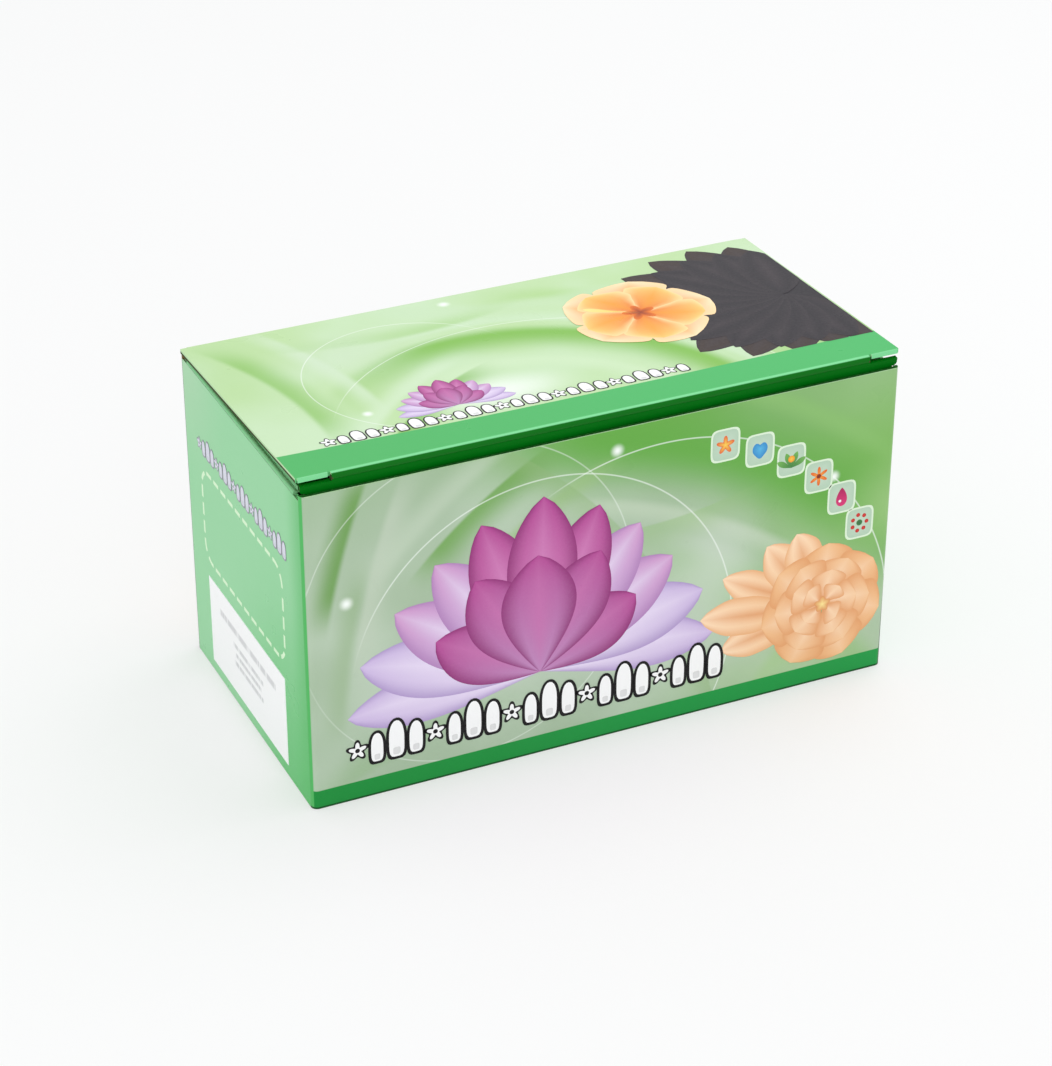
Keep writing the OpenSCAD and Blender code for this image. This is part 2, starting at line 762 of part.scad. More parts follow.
module turntable() {
    color(lavender * 0.9) at_machine() translate([turntable_x, turntable_y, deck_h]) difference() {
        union() {
            translate([0, 0, 0.4]) cylinder(r = disc_r + 1.4, h = 1.8);
            translate([0, 0, 2.1]) cylinder(r = 5, h = 1.1);
        }
        translate([0, 0, -1]) cylinder(r = 2 + running, h = 10);
    }
}

module turntable_spindle() {
    color(steel) at_machine() translate([turntable_x, turntable_y, foot_h + shell + 6])
        cylinder(r = 2, h = deck_h + 3 - foot_h - shell - 6);
}

module pattern_disc() {
    color(steel) at_machine() translate([turntable_x, turntable_y, deck_h + 2.2]) difference() {
        cylinder(r = disc_r, h = 0.8);
        translate([0, 0, -1]) cylinder(r = 5, h = 4);
    }
}

blade_gap = 0.5;
module scraper_carriage() {
    top = deck_h + plate_h;
    color(plum * 0.85) at_machine() translate([scraper_x, scraper_y, 0]) {
        slab([-3.2, -1.3, deck_h - shell - 0.4], [3.2, 1.3, top + 0.3]);
        slab([-3.2, -4, deck_h - shell - 2], [3.2, 4, deck_h - shell - 0.4]);
        translate([0, 0, top + 0.3]) linear_extrude(5) rounded_rect(8, 12, 2);
        translate([0, 1.5, top + 5.3]) cylinder(r1 = 3, r2 = 2.4, h = 4);
    }
}

module scraper_blade() {
    top = deck_h + plate_h;
    blade_reach = 34;
    color(steel) at_machine() slab([scraper_x - 0.4, scraper_y - 6 - blade_reach, deck_h + 3 + blade_gap],
        [scraper_x + 0.4, scraper_y - 6, top + 5]);
}

module release_button() {
    flange_z = deck_h - shell - 1.4;
    color(plum) at_machine() translate([button_x, button_y, 0]) {
        translate([0, 0, flange_z]) cylinder(r = 4.4 - running, h = deck_h - flange_z + plate_h + button_travel + 1);
        translate([0, 0, flange_z]) cylinder(r = 5.6, h = 1);
    }
}

front_panel();
back_panel();
left_panel();
right_panel();
glue_flap();
bottom_front_flap();
bottom_rear_flap();
bottom_left_flap();
bottom_right_flap();
side_label();
lid_panel();
tuck_flap();
dust_flap_left();
dust_flap_right();
insert_tray();
insert_rib_front();
insert_rib_rear();
base_shell();
bottom_cover();
base_screws();
rubber_feet();
deck_plate();
hood_shell();
hood_boss();
guard_arch();
index_comb();
curved_rack();
pivot_axle();
swing_arm();
grip_bar();
roller_axle();
stamp_core();
stamp_tyre();
pinion();
plate_holder();
pattern_plate();
finger_rest();
finger_pad();
turntable();
turntable_spindle();
pattern_disc();
scraper_carriage();
scraper_blade();
release_button();
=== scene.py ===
"""Looks for a hand-operated nail art printer packed in its printed retail carton.

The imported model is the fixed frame. This script dresses its nodes, lays the printed
motifs on the carton as thin sheets, and sets the floor, the light and the camera.
"""

from __future__ import annotations

import json
import logging
import math
from dataclasses import dataclass, field
from enum import Enum
from typing import Callable, Sequence, Union

import bpy
from mathutils import Matrix, Vector


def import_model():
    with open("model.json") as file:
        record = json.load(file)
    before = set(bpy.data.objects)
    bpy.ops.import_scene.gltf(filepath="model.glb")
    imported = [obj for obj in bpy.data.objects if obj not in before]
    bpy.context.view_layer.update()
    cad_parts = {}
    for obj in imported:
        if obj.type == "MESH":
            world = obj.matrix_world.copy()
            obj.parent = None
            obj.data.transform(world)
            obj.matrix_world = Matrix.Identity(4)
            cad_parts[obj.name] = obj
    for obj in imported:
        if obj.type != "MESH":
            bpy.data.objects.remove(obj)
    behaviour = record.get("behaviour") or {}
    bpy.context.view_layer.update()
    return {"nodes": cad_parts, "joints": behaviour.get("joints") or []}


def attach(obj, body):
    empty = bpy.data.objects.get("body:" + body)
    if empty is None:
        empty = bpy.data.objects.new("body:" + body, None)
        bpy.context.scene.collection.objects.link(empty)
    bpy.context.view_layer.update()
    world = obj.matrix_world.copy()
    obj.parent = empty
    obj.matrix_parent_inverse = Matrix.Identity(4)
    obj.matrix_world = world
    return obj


LOG = logging.getLogger("carton")
MM = 0.001
Colour = tuple[float, float, float]
Point = tuple[float, float]
Number = Union[float, "Wire"]
Reach = Callable[[float], float]

# Sizes of the carton, in millimetres. The lid's face lies at LID_FACE where y is 0 and
# falls by LID_LEAN for each millimetre of y. Its front fold is twice LID_FOLD long.
CARTON_W, CARTON_D, CARTON_H = 220.0, 116.0, 120.0
BOARD = 1.6
FLUTE_PITCH = 3.1
LID_FOLD = 98.1
LID_LEAN = 0.03829
LID_FACE = 123.89

# Where the lid's and the dust flaps' print runs over a crease, in y and in x.
LID_CREASE = -54.8
DUST_CREASE = (107.4, 107.9)
TURNTABLE_AT = (-60.0, -8.0)

PRINT_SHINE = 0.12
SEEN_WHITE = (0.985, 0.985, 0.98)


def ink(red: float, green: float, blue: float) -> Colour:
    """Turns a colour of 0 to 255 steps into the linear one that a shader takes.

    Args:
        red: Red, 0 to 255.
        green: Green, 0 to 255.
        blue: Blue, 0 to 255.

    Returns:
        The linear colour.
    """

    def linear(step: float) -> float:
        """Returns one channel without its display curve."""
        share = step / 255
        return share / 12.92 if share <= 0.04045 else ((share + 0.055) / 1.055) ** 2.4

    return linear(red), linear(green), linear(blue)


def between(first: Colour, second: Colour, share: float) -> Colour:
    """Returns the colour that lies a share of the way from first to second."""
    share = min(1.0, max(0.0, share))
    return tuple(a + (b - a) * share for a, b in zip(first, second))


# ---------------------------------------------------------------- shader maths


class Wire:
    """A shader socket that takes part in Python arithmetic."""

    def __init__(self, graph: "Graph", socket: bpy.types.NodeSocket) -> None:
        """Keeps the socket and the graph that it belongs to."""
        self.graph = graph
        self.socket = socket

    def _sum(self, operation: str, first: Number, second: Number = 0.0) -> "Wire":
        """Adds one Math node for the operation and returns its output."""
        return self.graph.node("ShaderNodeMath", {"operation": operation}, {0: first, 1: second})

    def __add__(self, other: Number) -> "Wire":
        """Returns self + other."""
        return self._sum("ADD", self, other)

    def __radd__(self, other: Number) -> "Wire":
        """Returns other + self."""
        return self._sum("ADD", other, self)

    def __sub__(self, other: Number) -> "Wire":
        """Returns self - other."""
        return self._sum("SUBTRACT", self, other)

    def __rsub__(self, other: Number) -> "Wire":
        """Returns other - self."""
        return self._sum("SUBTRACT", other, self)

    def __mul__(self, other: Number) -> "Wire":
        """Returns self * other."""
        return self._sum("MULTIPLY", self, other)

    def __rmul__(self, other: Number) -> "Wire":
        """Returns other * self."""
        return self._sum("MULTIPLY", other, self)

    def __truediv__(self, other: Number) -> "Wire":
        """Returns self / other."""
        return self._sum("DIVIDE", self, other)

    def __abs__(self) -> "Wire":
        """Returns the size of self without its sign."""
        return self._sum("ABSOLUTE", self)

    def root(self) -> "Wire":
        """Returns the square root of self."""
        return self._sum("SQRT", self)

    def wave(self) -> "Wire":
        """Returns the sine of self."""
        return self._sum("SINE", self)

    def most(self, other: Number) -> "Wire":
        """Returns the larger of self and other."""
        return self._sum("MAXIMUM", self, other)

    def bearing(self, other: Number) -> "Wire":
        """Returns the angle of the point that lies other along and self up."""
        return self._sum("ARCTAN2", self, other)

    def folded(self, span: float) -> "Wire":
        """Returns self folded to and fro between 0 and span."""
        return self._sum("PINGPONG", self, span)

    def fade(self, low: float, high: float) -> "Wire":
        """Returns a smooth step from 0 at low to 1 at high."""
        settings, limits = {"interpolation_type": "SMOOTHSTEP"}, {0: self, 1: low, 2: high, 3: 0.0, 4: 1.0}
        return self.graph.node("ShaderNodeMapRange", settings, limits)


class Graph:
    """The node tree of one material or of the world."""

    def __init__(self, tree: bpy.types.NodeTree) -> None:
        """Empties the tree, ready for new nodes."""
        self.tree = tree
        tree.nodes.clear()

    def node(
        self, kind: str, settings: dict | None = None, inputs: dict | None = None, output: int | str = 0
    ) -> Wire | None:
        """Adds a node.

        Args:
            kind: The node's type.
            settings: What is set on the node first. The key stops fills a colour ramp.
            inputs: Values or wires by the number or name of their socket.
            output: The number or name of the socket to return.

        Returns:
            The output as a wire, or nothing for a node that has no output.
        """
        made = self.tree.nodes.new(kind)
        for key, value in (settings or {}).items():
            if key == "stops":
                self._fill_ramp(made.color_ramp, value)
            else:
                setattr(made, key, value)
        for key, value in (inputs or {}).items():
            if isinstance(value, Wire):
                self.tree.links.new(value.socket, made.inputs[key])
            else:
                made.inputs[key].default_value = value
        return Wire(self, made.outputs[output]) if made.outputs else None

    @staticmethod
    def _fill_ramp(ramp: bpy.types.ColorRamp, stops: Sequence[tuple[float, Colour]]) -> None:
        """Gives a colour ramp its stops."""
        while len(ramp.elements) < len(stops):
            ramp.elements.new(0.5)
        for element, (place, colour) in zip(ramp.elements, stops):
            element.position = place
            element.color = (*colour, 1.0)

    def blend(self, share: Number, first: Wire | Colour, second: Wire | Colour) -> Wire:
        """Mixes two colours.

        Args:
            share: How much of the second colour, 0 to 1.
            first: A colour.
            second: A colour.

        Returns:
            The mixed colour.
        """
        full = [value if isinstance(value, Wire) else (*value, 1.0) for value in (first, second)]
        return self.node("ShaderNodeMix", {"data_type": "RGBA"}, {0: share, 6: full[0], 7: full[1]}, 2)

    def split(self, vector: Wire) -> tuple[Wire, Wire, Wire]:
        """Returns the three parts of a vector."""
        parts = self.node("ShaderNodeSeparateXYZ", None, {0: vector})
        outputs = parts.socket.node.outputs
        return tuple(Wire(self, outputs[k]) for k in range(3))

    def place(self) -> Wire:
        """Returns the place on the object in millimetres, which moves with its body."""
        at = self.node("ShaderNodeTexCoord", None, None, "Object")
        return self.node("ShaderNodeVectorMath", {"operation": "SCALE"}, {0: at, "Scale": 1 / MM})

    def facing(self) -> tuple[Wire, Wire, Wire]:
        """Returns the parts of the surface's own normal, which turns with its body."""
        return self.split(self.node("ShaderNodeTexCoord", None, None, "Normal"))

    def noise(self, at: Wire, scale: float, detail: float = 3.0, rough: float = 0.5) -> Wire:
        """Returns noise of about 0 to 1 at a place in millimetres."""
        inputs = {"Vector": at, "Scale": scale, "Detail": detail, "Roughness": rough}
        return self.node("ShaderNodeTexNoise", None, inputs)

    def stretched(self, at: Wire, factors: Colour) -> Wire:
        """Returns the place with each axis scaled by its factor."""
        return self.node("ShaderNodeVectorMath", {"operation": "MULTIPLY"}, {0: at, 1: factors})

    def bump(self, height: Wire, depth_mm: float, strength: float) -> Wire:
        """Returns a normal bent by a height of 0 to 1 that stands for depth_mm."""
        return self.node("ShaderNodeBump", None, {"Strength": strength, "Distance": depth_mm * MM, "Height": height})


def away(u: Wire, v: Wire, centre: Point) -> Wire:
    """Returns the distance of a point from a centre."""
    du, dv = u - centre[0], v - centre[1]
    return (du * du + dv * dv).root()


@dataclass(frozen=True)
class Finish:
    """A finish made with one Principled shader."""

    name: str

    def material(self) -> bpy.types.Material:
        """Returns the finish as a material."""
        material = bpy.data.materials.new(self.name)
        material.use_nodes = True
        graph = Graph(material.node_tree)
        shader = graph.node("ShaderNodeBsdfPrincipled", None, self.inputs(graph))
        graph.node("ShaderNodeOutputMaterial", None, {"Surface": shader})
        return material

    def inputs(self, graph: Graph) -> dict:
        """Builds the finish's nodes and returns the shader's inputs by name."""
        raise NotImplementedError


# ---------------------------------------------------------------- faces of the carton


class Side(Enum):
    """A side of the carton, or the board on which no picture is printed."""

    FRONT = "front"
    BACK = "back"
    LEFT = "left"
    RIGHT = "right"
    TOP = "top"
    PLAIN = "plain"
    DUST = "dust flap"


@dataclass(frozen=True)
class Surface:
    """A flat printed face: where it is and which ways its picture runs."""

    origin: Vector
    across: Vector
    upward: Vector

    def lifted(self, u: float, v: float, lift: float) -> Vector:
        """Returns the place in metres of a picture point.

        Args:
            u: Millimetres across the face.
            v: Millimetres up the face.
            lift: Millimetres off the face.

        Returns:
            The place in the row frame.
        """
        out = self.across.cross(self.upward)
        return (self.origin + self.across * u + self.upward * v + out * lift) * MM


def lid_surface(joints: Sequence[dict]) -> Surface:
    """Returns the lid's upper face, which leans by what its two folds say."""
    axes = {joint["name"]: Vector(joint["pos_m"]) / MM for joint in joints if "pos_m" in joint}
    rear, front = axes["lid_hinge"], axes["tuck_fold"]
    along = (rear - front).normalized()
    up = Vector((1, 0, 0)).cross(along)
    return Surface(rear - along * rear.y + up * BOARD, Vector((1, 0, 0)), along)


def carton_surfaces(joints: Sequence[dict]) -> dict[Side, Surface]:
    """Returns the printed faces by side."""
    x, y, z = Vector((1, 0, 0)), Vector((0, 1, 0)), Vector((0, 0, 1))
    return {
        Side.FRONT: Surface(-y * CARTON_D / 2, x, z),
        Side.BACK: Surface(y * CARTON_D / 2, -x, z),
        Side.LEFT: Surface(-x * CARTON_W / 2, -y, z),
        Side.RIGHT: Surface(x * CARTON_W / 2, y, z),
        Side.TOP: lid_surface(joints),
    }


# ---------------------------------------------------------------- printed background


@dataclass(frozen=True)
class Blade:
    """A soft curved leaf in the printed background: a part of a ring.

    The leaf runs along a circle. It fades over soft_in towards the centre and over
    soft_out away from it, and it is cut to a window along the direction heading.
    """

    centre: Point
    radius: float
    soft_in: float
    soft_out: float
    heading: float
    start: float
    end: float
    colour: Colour
    strength: float

    def cover(self, u: Wire, v: Wire) -> Wire:
        """Returns how much of the leaf lies at a picture point, 0 to 1."""
        over = away(u, v, self.centre) - self.radius
        inner, outer = over.fade(-self.soft_in, 0.0), over.fade(self.soft_out, 0.0)
        along = u * math.cos(self.heading) + v * math.sin(self.heading)
        ends = 0.28 * (self.end - self.start)
        window = along.fade(self.start, self.start + ends) * along.fade(self.end, self.end - ends)
        return inner * outer * window * self.strength


@dataclass(frozen=True)
class Glow:
    """A soft round light in the printed background."""

    centre: Point
    reach: Point
    colour: Colour
    strength: float

    def cover(self, u: Wire, v: Wire) -> Wire:
        """Returns how much of the light lies at a picture point, 0 to 1."""
        du, dv = (u - self.centre[0]) / self.reach[0], (v - self.centre[1]) / self.reach[1]
        return (du * du + dv * dv).root().fade(1.0, 0.0) * self.strength


@dataclass(frozen=True)
class Hairline:
    """A thin pale circle line in the printed background."""

    centre: Point
    radius: float
    width: float
    heading: float
    start: float
    colour: Colour
    strength: float

    def cover(self, u: Wire, v: Wire) -> Wire:
        """Returns how much of the line lies at a picture point, 0 to 1."""
        off = abs(away(u, v, self.centre) - self.radius)
        along = u * math.cos(self.heading) + v * math.sin(self.heading)
        return off.fade(self.width, self.width * 0.3) * along.fade(self.start, self.start + 30) * self.strength


WHITE_GLOW = ink(244, 250, 244)

FRONT_FIELD = (
    Glow((104, 86), (96, 84), ink(126, 182, 92), 0.95),
    Glow((20, 124), (104, 44), ink(114, 172, 82), 0.95),
    Glow((-100, 128), (70, 40), ink(150, 180, 140), 0.6),
    Blade((-60, -120), 244, 20, 32, 0.0, -62, 150, ink(100, 169, 70), 0.92),
    Blade((-60, -120), 268, 7, 5, 0.0, 10, 124, ink(140, 190, 112), 0.6),
    Blade((-60, -120), 220, 7, 4, 0.0, -30, 104, ink(194, 210, 186), 0.6),
    Blade((-60, -120), 203, 26, 10, 0.0, 4, 150, ink(138, 186, 112), 0.75),
    Blade((168, 20), 276, 2.5, 9, 1.571, 64, 132, ink(104, 154, 74), 0.85),
    Blade((168, 20), 262, 9, 3, 1.571, 40, 128, ink(190, 204, 184), 0.7),
    Blade((200, 10), 300, 4, 8, 1.571, 20, 96, ink(142, 174, 126), 0.5),
    Blade((60, -40), 179, 13, 1.6, 0.9, 14, 84, ink(112, 164, 80), 0.85),
    Blade((60, -40), 191, 5, 9, 0.9, 4, 90, ink(192, 208, 186), 0.55),
    Blade((60, -40), 160, 7, 4, 0.9, 20, 92, ink(154, 190, 126), 0.6),
    Blade((-20, -150), 176, 4, 12, 0.0, -120, -20, ink(148, 182, 136), 0.5),
    Blade((150, -60), 112, 18, 5, 0.8, 20, 110, ink(162, 200, 136), 0.7),
    Glow((41, 58), (26, 30), ink(216, 224, 216), 0.55),
    Glow((-20, 40), (100, 34), ink(200, 212, 198), 0.5),
    Glow((62, 10), (70, 18), ink(168, 200, 152), 0.6),
    Blade((10, 232), 152, 0.9, 13, 0.0, -46, 62, ink(150, 188, 126), 0.5),
    Blade((-150, -40), 196, 12, 0.8, 0.6, 20, 100, ink(142, 178, 120), 0.45),
    Glow((114, 66), (36, 26), ink(162, 200, 134), 0.7),
    Hairline((-24, 36), 71.5, 0.4, 0.4, -70, WHITE_GLOW, 0.5),
    Hairline((-52, 66), 60, 0.36, 0.2, -110, WHITE_GLOW, 0.32),
    Hairline((20, 20), 91, 0.4, 0.3, 0, WHITE_GLOW, 0.55),
    Glow((-95.7, 77.4), (3.2, 3.2), WHITE_GLOW, 1.0),
    Glow((2.1, 112.0), (3.2, 3.2), WHITE_GLOW, 1.0),
    Glow((86, 83), (3.0, 3.0), WHITE_GLOW, 1.0),
)

TOP_FIELD_DEPTH = 110.0
TOP_FIELD = (
    Glow((-108, 30), (46, 60), ink(160, 204, 120), 0.25),
    Glow((96, -30), (60, 40), ink(150, 200, 112), 0.7),
    Blade((-22, -58), 76, 18, 7, 0.0, -90, 104, ink(126, 186, 76), 0.95),
    Blade((-22, -58), 54, 9, 5, 0.0, -60, 96, ink(206, 230, 192), 0.6),
    Blade((-22, -58), 87, 4, 10, 0.0, -70, 120, ink(204, 228, 196), 0.7),
    Blade((-22, -58), 106, 7, 10, 0.0, -10, 120, ink(166, 208, 128), 0.6),
    Blade((-230, -20), 142, 3, 12, 1.571, -40, 54, ink(130, 188, 84), 0.7),
    Blade((-222, -20), 156, 8, 3, 1.571, -30, 62, ink(206, 228, 196), 0.8),
    Blade((30, -120), 128, 12, 1.5, 0.8, -100, -12, ink(124, 182, 84), 0.85),
    Blade((30, -120), 138, 4, 8, 0.8, -96, -6, ink(208, 230, 198), 0.7),
    Blade((-40, 180), 150, 9, 3, 0.0, -90, 20, ink(158, 204, 120), 0.6),
    Blade((30, 166), 132, 6, 14, 0.0, -60, 70, ink(198, 224, 186), 0.6),
    Glow((-62, 24), (34, 26), ink(206, 226, 200), 0.6),
    Glow((-26, -24), (34, 15), WHITE_GLOW, 0.8),
    Hairline((-10, -60), 84, 0.3, 0.2, -90, WHITE_GLOW, 0.5),
    Hairline((-44, 0), 40, 0.3, 2.6, 10, WHITE_GLOW, 0.5),
    Glow((-14, 47), (3.2, 2.8), WHITE_GLOW, 1.0),
    Glow((-72, -20.5), (2.6, 2.6), WHITE_GLOW, 1.0),
)


def painted(graph: Graph, base: Wire, marks: Sequence[Blade | Glow | Hairline], u: Wire, v: Wire) -> Wire:
    """Lays the marks over a base colour in their order and returns the picture."""
    colour = base
    for mark in marks:
        colour = graph.blend(mark.cover(u, v), colour, mark.colour)
    return colour


@dataclass(frozen=True)
class BoardPrint:
    """The printed colours of one side of the carton."""

    side: Side

    def colour(self, graph: Graph, at: Wire) -> Wire:
        """Returns the print's colour at a place.

        Args:
            graph: The node tree.
            at: The place on the carton, in millimetres.

        Returns:
            The colour.
        """
        x, y, z = graph.split(at)
        cloud = graph.noise(at, 0.018, 2.0)
        if self.side in (Side.FRONT, Side.BACK):
            return self._picture(graph, x if self.side is Side.FRONT else x * -1.0, z, cloud)
        if self.side is Side.TOP:
            return self._top(graph, x, y, cloud)
        if self.side in (Side.LEFT, Side.RIGHT):
            return self._end(graph, y * -1.0 if self.side is Side.LEFT else y, z, cloud)
        plain = graph.blend(cloud, ink(0, 98, 12), ink(4, 110, 22))
        if self.side is Side.DUST:
            return graph.blend(abs(x).fade(*DUST_CREASE), plain, ink(136, 206, 148))
        return plain

    def _picture(self, graph: Graph, u: Wire, v: Wire, cloud: Wire) -> Wire:
        """Returns the long sides' picture field over its green band."""
        base = graph.blend(cloud.fade(0.35, 0.7), ink(166, 188, 160), ink(184, 202, 180))
        field_colour = painted(graph, base, FRONT_FIELD, u, v)
        band = graph.blend((u / CARTON_W + 0.5).fade(0.0, 1.0), ink(32, 142, 62), ink(36, 152, 72))
        inside = v.fade(7.0, 7.35) * abs(u).fade(109.6, 109.3)
        picture = graph.blend(inside, band, field_colour)
        picture = graph.blend((u * -1.0).fade(109.2, 109.5), picture, ink(84, 182, 98))
        # Painted shade: a dark green line along the bottom crease, where the panel stands on the floor.
        picture = graph.blend(v.fade(0.95, 0.55) * 0.85, picture, ink(14, 62, 26))
        # Painted shade: a narrow dark line along the picture's right-hand fold, widening towards the foot, standing
        # for the rounded fold in shadow.
        painted_shade_from = 109.7 - (64.0 - v).fade(0.0, 60.0)
        return graph.blend((u - painted_shade_from).fade(0.0, 0.25) * 0.9, picture, ink(44, 66, 40))

    def _top(self, graph: Graph, u: Wire, v: Wire, cloud: Wire) -> Wire:
        """Returns the lid's picture field over its green band."""
        base = graph.blend(cloud.fade(0.35, 0.7), ink(188, 219, 164), ink(200, 226, 188))
        field_colour = painted(graph, base, TOP_FIELD, u, v * (TOP_FIELD_DEPTH / CARTON_D))
        bow = u * u * 0.00018
        band = graph.blend((u / CARTON_W + 0.5).fade(0.0, 1.0), ink(78, 180, 100), ink(76, 184, 104))
        inside = (v + 40.5 - bow).fade(-0.2, 0.2)
        edged = graph.blend(inside, band, field_colour)
        # Painted highlight: a pale mint line along the lid's front crease.
        fold_highlit = graph.blend(v.fade(LID_CREASE, LID_CREASE - 0.7) * 0.65, edged, ink(146, 230, 170))
        return graph.blend(v.fade(-55.9, -56.25), fold_highlit, ink(2, 104, 16))

    def _end(self, graph: Graph, u: Wire, v: Wire, cloud: Wire) -> Wire:
        """Returns the short sides' green, pale above and deeper at the front and foot."""
        deep = u.fade(-30.0, 62.0) * (104.0 - v).fade(0.0, 108.0)
        pale = (u * -1.0).fade(10.0, 56.0) * v.fade(70.0, 118.0)
        streak = (v * 0.03 - u * 0.055 + cloud * 2.2).wave() * 0.05
        colour = graph.blend((deep + streak).fade(0.0, 1.0), ink(144, 212, 156), ink(84, 192, 104))
        colour = graph.blend(pale * 0.6, colour, ink(174, 214, 174))
        return graph.blend(u.fade(41.0, 58.0) * 0.7, colour, ink(66, 184, 88))


@dataclass(frozen=True)
class Trim:
    """How a side's board looks where it is cut, and how much its print shines."""

    gap: Colour
    paper: Colour
    pale_rim: float = 0.28
    shine: float = PRINT_SHINE


PICTURE_TRIM = Trim(ink(12, 74, 16), ink(34, 100, 34))
END_TRIM = Trim(ink(112, 190, 124), ink(130, 204, 144))
FLAP_TRIM = Trim(ink(26, 66, 26), ink(62, 108, 58), 0.0, 0.03)
TRIMS = {
    Side.FRONT: PICTURE_TRIM,
    Side.BACK: PICTURE_TRIM,
    Side.LEFT: END_TRIM,
    Side.RIGHT: END_TRIM,
    # The lid's cut edge is painted dark green-brown as the shadowed gap beneath the lid, below a wide pale rim
    # painted as a highlight line.
    Side.TOP: Trim(ink(38, 50, 28), ink(70, 76, 46), 0.5),
    Side.PLAIN: FLAP_TRIM,
    Side.DUST: FLAP_TRIM,
}
KRAFT_LIGHT, KRAFT_DARK = ink(186, 150, 106), ink(150, 116, 78)


@dataclass(frozen=True)
class CartonBoard(Finish):
    """Corrugated board: print on its outer face, kraft inside, flutes at its cut edges.

    The outer face lies at outer_at along out, and falls by lean for each millimetre of y.
    """

    side: Side
    out: Colour
    outer_at: float
    lean: float = 0.0

    def _printed(self, parts: tuple[Wire, Wire, Wire], facing: Wire) -> Wire:
        """Returns 1 on the outer face and where its print runs over a crease."""
        printed = facing.fade(0.015, 0.03)
        if self.side is Side.TOP:
            fold = abs(parts[0]).fade(LID_FOLD + 0.1, LID_FOLD)
            return printed.most(parts[1].fade(LID_CREASE, LID_CREASE - 0.1) * fold)
        if self.side is Side.DUST:
            return printed.most(abs(parts[0]).fade(*DUST_CREASE) * facing.fade(-0.5, -0.3))
        return printed

    def _cut_edge(self, graph: Graph, depth: Wire, wave: Wire) -> Wire:
        """Returns the colour of a cut edge: a fluted sheet between two liners."""
        trim = TRIMS[self.side]
        flute = abs(depth - 0.5 - wave * 0.3)
        liner = abs(depth - 0.5).fade(0.34, 0.4)
        # The flutes' hollows take trim.gap, a darker colour painted as the shade inside them.
        cut = graph.blend(flute.fade(0.17, 0.09).most(liner), trim.gap, trim.paper)
        if not trim.pale_rim:
            return cut
        # The pale rim along the outer liner is the paper's edge, lightened into a painted highlight.
        return graph.blend(depth.fade(trim.pale_rim + 0.06, trim.pale_rim - 0.06), cut, ink(190, 224, 176))

    def inputs(self, graph: Graph) -> dict:
        """Builds the board's nodes and returns the shader's inputs."""
        at = graph.place()
        parts, normals = graph.split(at), graph.facing()
        facing = sum((n * o for n, o in zip(normals, self.out) if o), 0.0)
        outward = sum((p * o for p, o in zip(parts, self.out) if o), 0.0)
        depth = (self.outer_at - parts[1] * self.lean - outward) / BOARD
        printed = self._printed(parts, facing)
        fibres = graph.noise(graph.stretched(at, (0.6, 1.0, 1.0)), 1.6, 6.0, 0.65)
        kraft = graph.blend(fibres.fade(0.25, 0.75), KRAFT_DARK, KRAFT_LIGHT)
        turns = 2 * math.pi / FLUTE_PITCH
        wave = ((parts[1] if self.out[0] else parts[0]) * turns).wave()
        bare = graph.blend((facing * -1.0).fade(0.5, 0.6), self._cut_edge(graph, depth, wave), kraft)
        scuff = graph.noise(at, 0.9, 5.0, 0.7)
        art = BoardPrint(self.side).colour(graph, at)
        art = graph.blend(scuff.fade(0.76, 0.9) * 0.12, art, (0.9, 0.95, 0.9))
        gloss = graph.noise(at, 0.05, 3.0)
        ripple = wave if self.side is Side.TOP else (parts[2] * turns).wave()
        height = printed * (ripple * 0.06 + gloss * 0.8) + (1.0 - printed) * fibres
        return {
            "Base Color": graph.blend(printed, bare, art),
            "Roughness": (0.24 + gloss * 0.1) * printed + (1.0 - printed) * (0.78 + fibres * 0.14),
            "Specular IOR Level": TRIMS[self.side].shine,
            "Normal": graph.bump(height, 0.12, 0.35),
        }


# ---------------------------------------------------------------- other finishes


@dataclass(frozen=True)
class Card(Finish):
    """Plain grey-brown card of the insert, with fibres and specks."""

    light: Colour
    dark: Colour

    def inputs(self, graph: Graph) -> dict:
        """Builds the card's nodes and returns the shader's inputs."""
        at = graph.place()
        fibres = graph.noise(graph.stretched(at, (0.35, 1.0, 1.0)), 2.4, 7.0, 0.7)
        blotch = graph.noise(at, 0.08, 3.0)
        specks = graph.noise(at, 3.4, 2.0, 0.4).fade(0.7, 0.78)
        colour = graph.blend(fibres.fade(0.3, 0.75) * 0.7 + blotch * 0.3, self.dark, self.light)
        return {
            "Base Color": graph.blend(specks * 0.35, colour, ink(110, 84, 58)),
            "Roughness": 0.82 + fibres * 0.14,
            "Normal": graph.bump(fibres, 0.06, 0.4),
        }


# The label's grey rules: height on the panel, half length and half thickness.
RULES = ((30.4, 28.0, 1.8), (24.4, 15.3, 1.3), (20.8, 13.2, 1.2), (17.2, 14.8, 1.3))
RULES_MIDDLE = 1.2


@dataclass(frozen=True)
class LabelPaper(Finish):
    """White label paper with plain grey rules, seen on the carton's left side."""

    def inputs(self, graph: Graph) -> dict:
        """Builds the paper's nodes and returns the shader's inputs."""
        at = graph.place()
        _, y, z = graph.split(at)
        grain = graph.noise(at, 1.2, 5.0, 0.6)
        rows = [
            abs(z - height).fade(width, width * 0.4) * abs(y - RULES_MIDDLE).fade(reach, reach - 1.2)
            for height, reach, width in RULES
        ]
        rules = rows[0]
        for row in rows[1:]:
            rules = rules.most(row)
        gaps = graph.noise(graph.stretched(at, (0.0, 0.5, 0.05)), 1.0, 2.0).fade(0.36, 0.5) * 0.6 + 0.4
        paper = graph.blend(grain, ink(250, 249, 250), ink(255, 255, 255))
        return {
            "Base Color": graph.blend(rules * gaps * 0.42, paper, ink(140, 140, 146)),
            "Roughness": 0.5 + grain * 0.12,
            "Normal": graph.bump(grain, 0.02, 0.3),
        }


